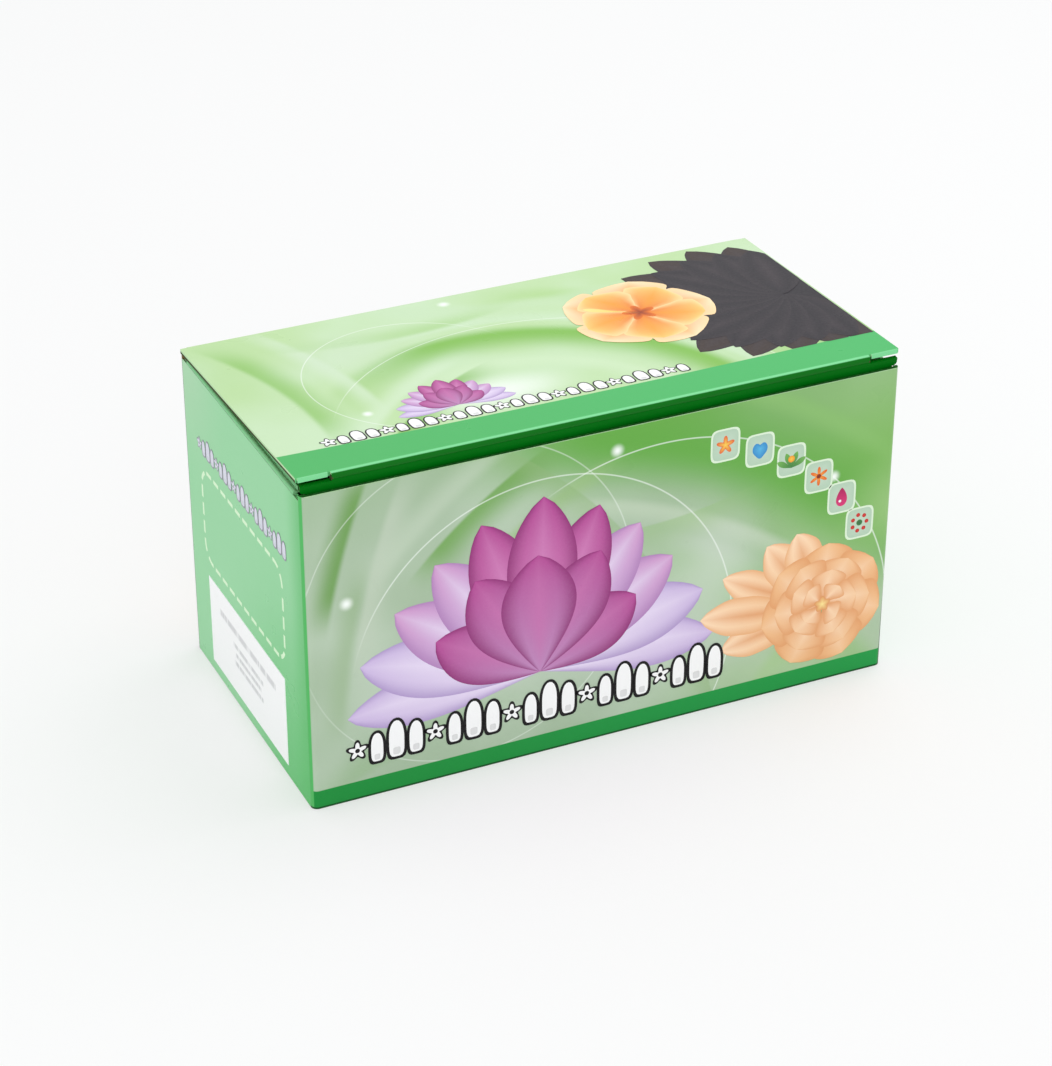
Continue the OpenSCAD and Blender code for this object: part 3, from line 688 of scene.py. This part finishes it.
@dataclass(frozen=True)
class Moulding(Finish):
    """Injection-moulded plastic with a faint flow mottle and a fine texture."""

    colour: Colour
    deep: Colour
    roughness: float
    grain: float = 0.3

    def inputs(self, graph: Graph) -> dict:
        """Builds the plastic's nodes and returns the shader's inputs."""
        at = graph.place()
        flow = graph.noise(graph.stretched(at, (1.0, 0.4, 0.7)), 0.03, 3.0)
        fine = graph.noise(at, 2.8, 3.0, 0.6)
        wear = graph.noise(at, 0.35, 4.0, 0.6)
        return {
            "Base Color": graph.blend(flow.fade(0.25, 0.75), self.colour, self.deep),
            "Roughness": self.roughness + (wear - 0.5) * 0.14,
            "Normal": graph.bump(fine, 0.03, self.grain),
        }


@dataclass(frozen=True)
class Steel(Finish):
    """Steel brushed along x, or turned about a point and etched with a ring of blossoms."""

    colour: Colour
    roughness: float
    turned_about: Point | None = None

    def inputs(self, graph: Graph) -> dict:
        """Builds the steel's nodes and returns the shader's inputs."""
        at = graph.place()
        stain = graph.noise(at, 0.07, 3.0)
        etched: Number = 0.0
        if self.turned_about:
            x, y, _ = graph.split(at)
            ring = away(x, y, self.turned_about)
            settings, inputs = {"noise_dimensions": "1D"}, {"W": ring, "Scale": 5.0, "Detail": 4.0}
            lines = graph.node("ShaderNodeTexNoise", settings, inputs)
            angle = (y - self.turned_about[1]).bearing(x - self.turned_about[0])
            etched = self._blossoms(angle, ring)
        else:
            lines = graph.noise(graph.stretched(at, (0.06, 4.0, 4.0)), 1.4, 4.0, 0.6)
        dull = between(self.colour, (0.3, 0.3, 0.32), 0.5)
        colour = graph.blend(lines * 0.6 + stain * 0.3, self.colour, dull)
        return {
            "Base Color": graph.blend(etched, colour, ink(88, 84, 92)),
            "Metallic": 1.0,
            "Roughness": self.roughness + lines * 0.14 + etched * 0.2,
            "Normal": graph.bump(lines - etched, 0.02, 0.4),
        }

    @staticmethod
    def _blossoms(angle: Wire, ring: Wire) -> Wire:
        """Returns 1 on the etched outlines of seven blossoms, for a polar place."""
        off = angle.folded(math.pi / 7)
        across = ring * off.wave()
        along = ring * (off + math.pi / 2).wave() - 15.0
        petals = (across.bearing(along) * 5.0 + math.pi / 2).wave()
        reach = (across * across + along * along).root()
        outline = abs(reach - 3.2 - petals * 0.9).fade(0.3, 0.12)
        heart = abs(reach - 1.0).fade(0.28, 0.1)
        return outline.most(heart).most(abs(ring - 21.4).fade(0.3, 0.12))


@dataclass(frozen=True)
class Rubber(Finish):
    """Matt rubber with a fine speckled bloom."""

    colour: Colour
    bloom: Colour
    roughness: float

    def inputs(self, graph: Graph) -> dict:
        """Builds the rubber's nodes and returns the shader's inputs."""
        at = graph.place()
        speck, cloud = graph.noise(at, 3.0, 3.0, 0.6), graph.noise(at, 0.2, 3.0)
        return {
            "Base Color": graph.blend(speck * 0.5 + cloud * 0.3, self.colour, self.bloom),
            "Roughness": self.roughness + cloud * 0.1,
            "Normal": graph.bump(speck, 0.04, 0.35),
        }


@dataclass(frozen=True)
class PrintedInk(Finish):
    """The ink of the motifs, which takes its colour from each motif's own points."""

    def inputs(self, graph: Graph) -> dict:
        """Builds the ink's nodes and returns the shader's inputs."""
        at = graph.place()
        pigment = graph.node("ShaderNodeVertexColor", {"layer_name": "ink"})
        grain = graph.noise(at, 1.1, 4.0, 0.6)
        gloss = graph.noise(at, 0.05, 3.0)
        return {
            "Base Color": graph.blend(grain.fade(0.3, 0.8) * 0.015, pigment, (0.9, 0.92, 0.9)),
            "Roughness": 0.24 + gloss * 0.1,
            "Specular IOR Level": PRINT_SHINE,
            "Normal": graph.bump(gloss, 0.1, 0.3),
        }


# ---------------------------------------------------------------- printed motifs


# How many rows and points a motif is laid out in, and the layers it is printed from.
PETAL_ROWS, PETAL_ACROSS, BADGE_ROWS = 22, 13, 5
FIRST_LAYER, ORNAMENT_LAYER, HIBISCUS_LAYER = 2, 20, 28


@dataclass
class MotifSheet:
    """Motifs printed on one face, gathered into one thin mesh."""

    name: str
    body: str
    slot: str
    surface: Surface
    reach_u: float
    low_v: float
    high_v: float
    layer: float = 0.004
    level: int = FIRST_LAYER
    points: list[Vector] = field(default_factory=list)
    faces: list[tuple[int, ...]] = field(default_factory=list)
    colours: list[Colour] = field(default_factory=list)

    def _grid(self, rows: list[list[Point]], paint: Callable[[float, float], Colour]) -> None:
        """Adds a sheet of points, one layer of ink over the one before.

        Args:
            rows: Rows of picture points, all of one length.
            paint: Gives the colour for a share of the rows and a share of a row.
        """
        first = len(self.points)
        self.level += 1
        across = len(rows[0])
        middle = rows[len(rows) // 2]
        (au, av), (bu, bv), (cu, cv) = rows[0][0], middle[0], middle[across // 3 + 1]
        turned = (bu - au) * (cv - bv) - (bv - av) * (cu - bu) < 0
        for i, row in enumerate(rows):
            for j, (u, v) in enumerate(row):
                u = min(self.reach_u, max(-self.reach_u, u))
                v = min(self.high_v, max(self.low_v, v))
                self.points.append(self.surface.lifted(u, v, self.layer * self.level))
                self.colours.append(paint(i / (len(rows) - 1), j / (across - 1)))
        for i in range(len(rows) - 1):
            for j in range(across - 1):
                a = first + i * across + j
                quad = (a, a + across, a + across + 1, a + 1)
                self.faces.append(quad[::-1] if turned else quad)

    def petal(
        self, foot: Point, lean: float, length: float, width: float, base: Colour, tip: Colour,
        belly: float = 0.62, curl: float = 0.0, vein: Colour | None = None, rim: Colour | None = None,
        ruffle: float = 0.0,
    ) -> None:
        """Adds a petal or leaf.

        Args:
            foot: Where it starts.
            lean: Its angle from upright, in degrees, to the right.
            length: Its length in millimetres.
            width: Its greatest width.
            base: Its colour at the foot.
            tip: Its colour at the tip.
            belly: Where along its length it is widest, 0 to 1.
            curl: How far its tip bends to the right, in millimetres.
            vein: The colour down its middle.
            rim: The colour along its rims.
            ruffle: How much its rims wave, as a share of its width.
        """
        turn = math.radians(lean)
        ahead, side = (math.sin(turn), math.cos(turn)), (math.cos(turn), -math.sin(turn))
        power = math.log(0.5) / math.log(belly)
        rows = []
        for i in range(PETAL_ROWS + 1):
            t = i / PETAL_ROWS
            wavy = 1 + ruffle * math.sin(26 * t)
            half = max(0.03, width / 2 * math.sin(math.pi * t**power) ** 0.72 * wavy)
            bend, along = curl * t * t, length * t
            row = []
            for j in range(PETAL_ACROSS):
                s = (2 * j / (PETAL_ACROSS - 1) - 1) * half + bend
                row.append((foot[0] + ahead[0] * along + side[0] * s, foot[1] + ahead[1] * along + side[1] * s))
            rows.append(row)

        def paint(t: float, share: float) -> Colour:
            """Returns the petal's colour along and across it."""
            colour = between(base, tip, t**1.2)
            off = abs(2 * share - 1)
            if vein:
                fading = math.sin(math.pi * min(1, t * 0.95))
                colour = between(colour, vein, 0.75 * max(0.0, 1 - off * 2.2) * fading)
            if rim:
                colour = between(colour, rim, 0.85 * max(0.0, off - 0.55) / 0.45)
            return colour

        self._grid(rows, paint)

    def badge(self, centre: Point, reach: Reach, inner: Colour, outer: Colour | None = None, steps: int = 48) -> None:
        """Adds a closed shape round a centre.

        Args:
            centre: Its centre.
            reach: Gives its radius for an angle, in radians.
            inner: Its colour at the centre.
            outer: Its colour at the rim, if that is another.
            steps: Points round the rim.
        """
        rim = outer or inner
        rows = []
        for i in range(BADGE_ROWS + 1):
            share = max(0.004, i / BADGE_ROWS)
            row = []
            for j in range(steps + 1):
                angle = 2 * math.pi * j / steps
                radius = reach(angle) * share
                row.append((centre[0] + radius * math.cos(angle), centre[1] + radius * math.sin(angle)))
            rows.append(row)
        self._grid(rows, lambda t, _: between(inner, rim, t))

    def strip(self, path: Sequence[Point], width: float, colour: Colour) -> None:
        """Adds a band of even width along a path."""
        rows = []
        for k, (u, v) in enumerate(path):
            before, after = path[max(0, k - 1)], path[min(len(path) - 1, k + 1)]
            du, dv = after[0] - before[0], after[1] - before[1]
            size = math.hypot(du, dv) or 1.0
            nu, nv = -dv / size * width / 2, du / size * width / 2
            rows.append([(u + nu, v + nv), (u, v), (u - nu, v - nv)])
        self._grid(rows, lambda *_: colour)

    def build(self, material: bpy.types.Material) -> bpy.types.Object:
        """Makes the sheet's object, which rides on its body, and returns it."""
        mesh = bpy.data.meshes.new(self.name)
        mesh.from_pydata([tuple(p) for p in self.points], [], self.faces)
        layer = mesh.color_attributes.new(name="ink", type="FLOAT_COLOR", domain="POINT")
        flat = [part for colour in self.colours for part in (*colour, 1.0)]
        layer.data.foreach_set("color", flat)
        mesh.materials.append(material)
        made = bpy.data.objects.new(self.name, mesh)
        bpy.context.scene.collection.objects.link(made)
        shell = made.modifiers.new("thickness", "SOLIDIFY")
        shell.thickness = self.layer * 0.7 * MM
        shell.offset = -1.0
        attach(made, self.body)
        LOG.info("%s: %d faces", self.name, len(self.faces))
        return made


PLUM, PLUM_DEEP, PLUM_LIGHT = ink(178, 74, 146), ink(136, 44, 110), ink(210, 134, 188)
LILAC, LILAC_DEEP, LILAC_LIGHT = ink(202, 182, 222), ink(168, 144, 196), ink(232, 220, 242)
PEACH, PEACH_DEEP, PEACH_LIGHT = ink(240, 188, 136), ink(222, 150, 96), ink(252, 220, 186)
AUBERGINE, AUBERGINE_LIGHT, AUBERGINE_TIP = ink(38, 34, 42), ink(62, 54, 60), ink(60, 46, 42)
ORANGE, AMBER, CREAM = ink(244, 160, 50), ink(232, 118, 34), ink(255, 232, 190)
JET, CHALK = ink(22, 20, 22), ink(246, 246, 246)


def disc_reach(radius: float) -> Reach:
    """Returns the outline of a disc."""
    return lambda _: radius


def star_reach(points: int, outer: float, inner: float) -> Reach:
    """Returns the outline of a soft star or flower with that many points."""
    return lambda a: inner + (outer - inner) * (0.5 + 0.5 * math.cos(points * (a - math.pi / 2)))


def box_reach(half_w: float, half_h: float, above: float = 5.5, below: float = 5.5) -> Reach:
    """Returns the outline of a box with full round corners.

    Args:
        half_w: Half its width.
        half_h: Half its height.
        above: How square its upper half is. At 2 it is an ellipse.
        below: The same for its lower half.

    Returns:
        The outline's radius by its angle.
    """

    def reach(angle: float) -> float:
        """Returns the superellipse's radius at an angle."""
        power = above if math.sin(angle) > 0 else below
        c, s = abs(math.cos(angle) / half_w), abs(math.sin(angle) / half_h)
        return (c**power + s**power) ** (-1 / power)

    return reach


def heart_reach(size: float) -> Reach:
    """Returns the outline of a heart."""

    def reach(angle: float) -> float:
        """Returns the heart's radius at an angle."""
        dip = abs(math.remainder(angle - math.pi / 2, 2 * math.pi))
        point = abs(math.remainder(angle + math.pi / 2, 2 * math.pi))
        return size * (1 - 0.45 * math.exp(-((dip / 0.42) ** 2)) + 0.3 * math.exp(-((point / 0.4) ** 2)))

    return reach


# A nail tip is round above and nearly square at its foot.
NAIL_POWERS = (2.2, 4.5)


@dataclass
class CartonPrint:
    """All motifs printed on the carton, in a layout of its own."""

    surfaces: dict[Side, Surface]
    ink_material: bpy.types.Material

    def lotus(self, sheet: MotifSheet, foot: Point, size: float) -> None:
        """Adds a lotus of lilac outer and plum inner petals, size times 70 mm high."""
        sheet.level = FIRST_LAYER
        outer = ((-83, 70, 21, -9), (83, 66, 21, 9), (-69, 68, 25, -6), (69, 64, 25, 6))
        middle = ((-52, 64, 26, -4), (52, 60, 26, 4), (-35, 64, 25, -2), (35, 62, 25, 2))
        inner = ((-19, 66, 24, 0), (20, 64, 24, 0), (1, 68, 26, 0))
        near = ((-58, 44, 24, -2), (56, 42, 24, 2), (-30, 48, 25, 0), (28, 48, 25, 0), (-1, 46, 28, 0))
        rings = (
            (outer, 0.6, LILAC_LIGHT, LILAC, LILAC_LIGHT, LILAC_DEEP),
            (middle, 0.58, LILAC, between(LILAC, PLUM_LIGHT, 0.6), LILAC_LIGHT,
             between(LILAC_DEEP, PLUM, 0.35)),
            (inner, 0.6, PLUM_LIGHT, PLUM, PLUM_LIGHT, PLUM_DEEP),
            (near, 0.58, between(LILAC, PLUM, 0.55), PLUM, between(PLUM, PLUM_LIGHT, 0.6), PLUM_DEEP),
        )
        for petals, belly, base, tip, vein, rim in rings:
            for lean, length, width, curl in petals:
                sheet.petal(foot, lean, length * size, width * size, base, tip, belly, curl * size, vein, rim)

    def ornaments(
        self, sheet: MotifSheet, start: Point, count: int, step: float, height: float,
        inks: tuple[Colour, Colour] = (JET, CHALK),
    ) -> None:
        """Adds a row of nail tips of three heights, with small blossoms between them.

        Args:
            sheet: The sheet to print on.
            start: The row's lower left corner.
            count: How many tips.
            step: The distance from one to the next.
            height: The height of the row.
            inks: The colours of the outlines and of what they enclose.
        """
        line, fill = inks
        blush = between(fill, line, 0.22)
        edge = height * 0.075
        blossom = min(step * 0.62, height * 0.46)
        for k in range(count):
            u, sheet.level = start[0] + step * (k + 0.5), ORNAMENT_LAYER
            if k % 4 == 0:
                spot = (u, start[1] + height * 0.42)
                sheet.badge(spot, star_reach(5, blossom, blossom * 0.56), line)
                sheet.badge(spot, star_reach(5, blossom - edge, blossom * 0.56 - edge), fill)
                sheet.badge(spot, disc_reach(blossom * 0.2), line, steps=18)
                continue
            tall, wide = ((0.78, 0.62), (1.0, 0.78), (0.86, 0.68))[k % 4 - 1]
            tall, wide = height * tall, step * wide
            spot, moon = (u, start[1] + tall / 2), (u, start[1] + tall * 0.16)
            sheet.badge(spot, box_reach(wide / 2 + edge, tall / 2 + edge, *NAIL_POWERS), line)
            sheet.badge(spot, box_reach(wide / 2, tall / 2, *NAIL_POWERS), fill)
            sheet.badge(moon, box_reach(wide * 0.24, tall * 0.1), blush, steps=18)

    def rose(self, sheet: MotifSheet, centre: Point, size: float) -> None:
        """Adds an open peach rose of overlapping round petals, with long ones at its left."""
        sheet.level = FIRST_LAYER
        long_ones = ((-106, 42, 15), (-66, 46, 14), (-86, 50, 16), (-42, 38, 16), (-24, 34, 16))
        for lean, length, width in long_ones:
            sheet.petal(centre, lean, length * size, width * size, PEACH, PEACH_LIGHT, 0.66, 2.0 * size,
                        PEACH_DEEP, between(PEACH, PEACH_DEEP, 0.5), 0.02)
        rings = ((7, 25.0, 22.0, 0.0), (6, 19.5, 19.0, 26.0), (5, 14.0, 14.5, 8.0), (4, 9.0, 10.0, 40.0))
        for ring, (count, length, width, shift) in enumerate(rings):
            tip = between(PEACH, PEACH_LIGHT, 0.1 + 0.2 * ring)
            for k in range(count):
                lean = shift + 360 * k / count
                sheet.petal(centre, lean, length * size, width * size, PEACH_DEEP, tip, 0.72, 1.4 * size,
                            PEACH_LIGHT, between(PEACH, PEACH_DEEP, 0.8), 0.015)
        sheet.badge(centre, star_reach(5, 3.4 * size, 2.4 * size), ink(250, 226, 150), PEACH_DEEP)

    def tile(self, sheet: MotifSheet, centre: Point, kind: int) -> None:
        """Adds a small rounded tile with one simple motif."""
        u, v = centre
        sheet.level = FIRST_LAYER
        sheet.badge(centre, box_reach(5.6, 6.3), ink(226, 240, 220), ink(220, 238, 212))
        sheet.badge(centre, box_reach(4.9, 5.6), ink(196, 216, 196), ink(180, 206, 182))
        leaf, stem = ink(70, 130, 70), ink(60, 100, 70)
        if kind == 0:
            sheet.badge(centre, star_reach(5, 3.6, 1.5), ink(250, 210, 90), ink(226, 96, 60))
        elif kind == 1:
            sheet.badge((u, v + 0.3), heart_reach(2.9), ink(90, 180, 224), ink(60, 140, 200))
        elif kind == 2:
            for lean in (-60, -20, 20, 60):
                sheet.petal((u, v - 3), lean, 6.4, 2.2, leaf, ink(120, 180, 90))
            sheet.badge((u, v + 0.5), disc_reach(1.3), ink(250, 200, 80), ink(240, 150, 50), steps=20)
        elif kind == 3:
            sheet.badge(centre, star_reach(6, 3.8, 1.1), ink(252, 170, 70), ink(224, 96, 40))
            sheet.badge(centre, disc_reach(0.9), ink(120, 50, 30), ink(150, 60, 40), steps=16)
        elif kind == 4:
            sheet.petal((u, v - 3.6), 0, 7.4, 4.4, ink(214, 60, 120), ink(170, 36, 90), 0.36)
            sheet.badge((u - 0.6, v - 1.4), disc_reach(0.55), CHALK, steps=12)
        else:
            for k in range(7):
                angle = 2 * math.pi * k / 7
                spot = (u + 2.9 * math.cos(angle), v + 3.2 * math.sin(angle))
                sheet.badge(spot, disc_reach(0.8), ink(214, 70, 60), ink(190, 40, 44), steps=14)
            sheet.badge(centre, disc_reach(1.2), stem, leaf, steps=16)

    def hibiscus(self, sheet: MotifSheet, centre: Point, size: float) -> None:
        """Adds an orange blossom with ruffled pale rims and a long stamen."""
        sheet.level = HIBISCUS_LAYER
        rings = (
            (12, 30, 0.7, 3, CREAM, ink(255, 222, 168)),
            (48, 25, 0.68, -3, ink(252, 206, 120), ink(254, 226, 166)),
        )
        for shift, length, belly, curl, tip, rim in rings:
            for k in range(5):
                sheet.petal(centre, shift + 72 * k, length * size, length * size, AMBER, tip, belly, curl * size,
                            ORANGE, rim, 0.03)
        sheet.badge(centre, star_reach(5, 7.0 * size, 3.5 * size), ink(140, 48, 26), AMBER)
        sheet.petal(centre, -62, 22 * size, 3.2 * size, ink(250, 200, 90), ink(255, 232, 150), 0.8, 2 * size)

    def leaves(self, sheet: MotifSheet, foot: Point) -> None:
        """Adds dark pointed leaves that fan out over the lid's right end."""
        sheet.level = FIRST_LAYER
        sheet.badge(foot, disc_reach(33.0), AUBERGINE)
        for ring, (length, width, shift) in enumerate(((62, 23, 0.0), (54, 21, 9.0))):
            for k in range(12):
                lean = shift - 190 + 18 * k
                reach = length * (0.74 + 0.26 * abs(math.sin(math.radians(lean - 12))))
                tip = (AUBERGINE_TIP, AUBERGINE)[ring]
                sheet.petal(foot, lean, reach, width, AUBERGINE, tip, 0.5, -4.0, AUBERGINE_LIGHT,
                            between(AUBERGINE, AUBERGINE_LIGHT, 0.5))

    def front(self, name: str, side: Side) -> None:
        """Prints a long side's motifs."""
        sheet = MotifSheet(name, "carton", "printed_board", self.surfaces[side], 108.6, 7.2, 118.4)
        self.lotus(sheet, (-26, 33), 1.0)
        self.ornaments(sheet, (-97, 13.4), 20, 7.1, 14.4)
        self.rose(sheet, (84, 32), 0.98)
        for k in range(6):
            angle = math.radians(75 - 9.3 * k)
            self.tile(sheet, (20 + 88 * math.cos(angle), 20 + 88 * math.sin(angle)), k)
        sheet.build(self.ink_material)

    def top(self) -> None:
        """Prints the lid's motifs."""
        sheet = MotifSheet("lid_print", "lid", "printed_board", self.surfaces[Side.TOP], 109.9, -39.5, 57.4)
        self.leaves(sheet, (98, 3.2))
        self.hibiscus(sheet, (45, 11.6), 0.92)
        self.lotus(sheet, (-42, -28.6), 0.31)
        self.ornaments(sheet, (-94, -38.7), 26, 5.15, 6.8)
        sheet.build(self.ink_material)

    def end(self, name: str, side: Side) -> None:
        """Prints a short side's dashed frame and ornaments."""
        sheet = MotifSheet(name, "carton", "printed_board", self.surfaces[side], 55.0, 2.0, 116.0)
        low_u, high_u, low_v, high_v, radius = -41.4, 36.9, 46.0, 82.6, 7.0
        path: list[Point] = []
        for cu, cv, start in ((high_u - radius, high_v - radius, 0), (low_u + radius, high_v - radius, 90),
                              (low_u + radius, low_v + radius, 180), (high_u - radius, low_v + radius, 270)):
            for k in range(7):
                angle = math.radians(start + 15 * k)
                path.append((cu + radius * math.cos(angle), cv + radius * math.sin(angle)))
        path.append(path[0])
        for dash in self._dashes(path, 5.0, 2.2):
            sheet.level = FIRST_LAYER
            sheet.strip(dash, 1.5, ink(216, 246, 206))
        self.ornaments(sheet, (-43.8, 88.8), 20, 4.32, 7.0, (ink(146, 140, 158), ink(216, 218, 230)))
        sheet.build(self.ink_material)

    @staticmethod
    def _dashes(path: Sequence[Point], dash: float, gap: float) -> list[list[Point]]:
        """Cuts a path into dashes.

        Args:
            path: The path's points.
            dash: The length of a dash.
            gap: The length of a gap.

        Returns:
            The dashes, each a path of its own.
        """
        made, now, left, drawing = [], [path[0]], dash, True
        for start, end in zip(path, path[1:]):
            total = math.hypot(end[0] - start[0], end[1] - start[1])
            done = 0.0
            while total - done > left:
                done += left
                spot = (start[0] + (end[0] - start[0]) * done / total, start[1] + (end[1] - start[1]) * done / total)
                if drawing:
                    made.append([*now, spot])
                now, drawing = [spot], not drawing
                left = dash if drawing else gap
            left -= total - done
            if drawing:
                now.append(end)
        return made

    def build(self) -> None:
        """Prints all sides of the carton."""
        self.front("front_print", Side.FRONT)
        self.front("back_print", Side.BACK)
        self.top()
        self.end("left_print", Side.LEFT)
        self.end("right_print", Side.RIGHT)


# ---------------------------------------------------------------- dressing the nodes


@dataclass
class Wardrobe:
    """Gives every CAD node its finish."""

    nodes: dict[str, bpy.types.Object]

    def dress(self, finish: Finish, *names: str) -> None:
        """Gives the named nodes one finish."""
        material = finish.material()
        for name in names:
            mesh = self.nodes[name].data
            mesh.materials.clear()
            mesh.materials.append(material)
            LOG.info("%s: %s", name, material.name)

    def carton(self) -> None:
        """Dresses the carton's board, each side with its own print."""
        half_w, half_d = CARTON_W / 2, CARTON_D / 2
        left, right, front, rear = (-1, 0, 0), (1, 0, 0), (0, -1, 0), (0, 1, 0)
        up, down = (0, 0, 1), (0, 0, -1)
        boards = (
            ("front_panel", Side.FRONT, front, half_d),
            ("back_panel", Side.BACK, rear, half_d),
            ("left_panel", Side.LEFT, left, half_w),
            ("right_panel", Side.RIGHT, right, half_w),
            ("lid_panel", Side.TOP, up, LID_FACE, LID_LEAN),
            ("tuck_flap", Side.PLAIN, front, half_d - BOARD),
            ("dust_flap_left", Side.DUST, up, CARTON_H),
            ("dust_flap_right", Side.DUST, up, CARTON_H),
            ("bottom_front_flap", Side.PLAIN, down, 0.0),
            ("bottom_rear_flap", Side.PLAIN, down, 0.0),
        )
        for name, *place in boards:
            self.dress(CartonBoard(f"board_{name}", *place), name)
        self.dress(Card("kraft_liner", KRAFT_LIGHT, KRAFT_DARK), "glue_flap", "bottom_left_flap", "bottom_right_flap")
        self.dress(Card("insert_card", ink(206, 192, 168), ink(176, 160, 134)),
                   "insert_tray", "insert_rib_front", "insert_rib_rear")
        self.dress(LabelPaper("label_paper"), "side_label")

    def machine(self) -> None:
        """Dresses the printer's plastics, steel and rubber."""
        self.dress(Moulding("lilac_shell", ink(196, 178, 220), ink(188, 168, 214), 0.34),
                   "base_shell", "bottom_cover", "guard_arch", "swing_arm", "grip_bar")
        self.dress(Moulding("lilac_deck", ink(206, 190, 226), ink(196, 180, 218), 0.42),
                   "deck_plate", "turntable", "plate_holder", "curved_rack", "stamp_core")
        self.dress(Moulding("plum_gloss", ink(182, 82, 152), ink(168, 66, 138), 0.2, 0.12),
                   "hood_shell", "hood_boss", "scraper_carriage", "release_button")
        self.dress(Moulding("plum_satin", ink(158, 66, 132), ink(146, 56, 120), 0.4), "index_comb", "finger_rest")
        self.dress(Steel("axle_steel", ink(196, 198, 202), 0.22),
                   "base_screws", "pivot_axle", "roller_axle", "pinion", "turntable_spindle", "scraper_blade")
        plate = ink(206, 208, 212)
        self.dress(Steel("plate_steel", plate, 0.24), "pattern_plate")
        self.dress(Steel("disc_steel", plate, 0.2, TURNTABLE_AT), "pattern_disc")
        self.dress(Rubber("stamp_rubber", ink(232, 228, 220), ink(244, 242, 238), 0.55), "stamp_tyre")
        self.dress(Rubber("foot_rubber", ink(36, 34, 38), ink(60, 58, 62), 0.72), "rubber_feet", "finger_pad")


# ---------------------------------------------------------------- studio


@dataclass
class Studio:
    """Floor, world, lamps and the photograph's camera."""

    azimuth: float = math.radians(-24.76)
    elevation: float = math.radians(29.86)
    focal_px: float = 3079.8
    image_px: float = 1066.0
    distance: float = 1090.9
    aim: Vector = field(default_factory=lambda: Vector((0.0, 0.0, 59.9)))
    off_right: float = 4.13
    off_up: float = 7.83

    def camera(self) -> None:
        """Sets the camera where the photograph was taken from."""
        sa, ca = math.sin(self.azimuth), math.cos(self.azimuth)
        se, ce = math.sin(self.elevation), math.cos(self.elevation)
        back = Vector((sa * ce, -ca * ce, se))
        right = Vector((ca, sa, 0.0))
        up = back.cross(right)
        eye = (self.aim + back * self.distance - right * self.off_right - up * self.off_up) * MM
        data = bpy.data.cameras.new("camera")
        data.sensor_width = 36.0
        data.lens = self.focal_px / self.image_px * data.sensor_width
        data.clip_start, data.clip_end = 0.05, 50.0
        made = bpy.data.objects.new("camera", data)
        made.matrix_world = Matrix.Translation(eye) @ Matrix((right, up, back)).transposed().to_4x4()
        bpy.context.scene.collection.objects.link(made)
        bpy.context.scene.camera = made

    def world(self) -> None:
        """Sets a plain pale surround, white to the camera and in reflections."""
        world = bpy.data.worlds.new("studio")
        world.use_nodes = True
        bpy.context.scene.world = world
        graph = Graph(world.node_tree)
        white = self._seen(graph)
        colour = graph.blend(white, (0.90, 0.91, 0.92), SEEN_WHITE)
        surface = graph.node("ShaderNodeBackground", None, {"Color": colour, "Strength": 1.0})
        graph.node("ShaderNodeOutputWorld", None, {"Surface": surface})

    @staticmethod
    def _seen(graph: Graph) -> Wire:
        """Returns 1 for rays of the camera and of mirror or glass, else 0."""
        path = graph.node("ShaderNodeLightPath", None, None, "Is Camera Ray")
        rays = [Wire(graph, path.socket.node.outputs[name]) for name in ("Is Glossy Ray", "Is Transmission Ray")]
        return path.most(rays[0]).most(rays[1])

    def floor(self) -> None:
        """Lays a pale floor that keeps the carton's soft shadow."""
        size = 6.0
        mesh = bpy.data.meshes.new("floor")
        corners = [(-size, -size, 0), (size, -size, 0), (size, size, 0), (-size, size, 0)]
        mesh.from_pydata(corners, [], [(0, 1, 2, 3)])
        material = bpy.data.materials.new("floor")
        material.use_nodes = True
        graph = Graph(material.node_tree)
        plain = graph.node("ShaderNodeBsdfDiffuse", None, {"Color": (0.87, 0.87, 0.87, 1)})
        lit = graph.node("ShaderNodeEmission", None, {"Color": (*SEEN_WHITE, 1), "Strength": 1.0})
        seen = graph.node("ShaderNodeMixShader", None, {0: self._seen(graph) * 0.5, 1: plain, 2: lit})
        graph.node("ShaderNodeOutputMaterial", None, {"Surface": seen})
        mesh.materials.append(material)
        made = bpy.data.objects.new("floor", mesh)
        made.location.z = -0.0002
        bpy.context.scene.collection.objects.link(made)

    def lamp(self, name: str, place: Colour, size: float, power: float) -> None:
        """Hangs a square soft lamp that points at the carton.

        Args:
            name: The lamp's name.
            place: Where it hangs, in metres.
            size: The length of its side, in metres.
            power: Its power in watts.
        """
        data = bpy.data.lights.new(name, "AREA")
        data.shape, data.size, data.energy = "SQUARE", size, power
        made = bpy.data.objects.new(name, data)
        made.location = place
        made.rotation_euler = (self.aim * MM - Vector(place)).to_track_quat("-Z", "Y").to_euler()
        bpy.context.scene.collection.objects.link(made)

    def build(self) -> None:
        """Sets everything round the carton."""
        bpy.context.scene.view_settings.view_transform = "Standard"
        self.camera()
        self.world()
        self.floor()
        self.lamp("key", (0.55, 0.15, 1.25), 0.9, 4.0)
        self.lamp("front_fill", (-0.7, -1.3, 0.7), 1.2, 4.0)


def main() -> None:
    """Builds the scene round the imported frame."""
    logging.basicConfig(level=logging.INFO, format="%(message)s")
    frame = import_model()
    Studio().build()
    wardrobe = Wardrobe(frame["nodes"])
    wardrobe.carton()
    wardrobe.machine()
    CartonPrint(carton_surfaces(frame["joints"]), PrintedInk("printed_ink").material()).build()


if __name__ == "__main__":
    main()
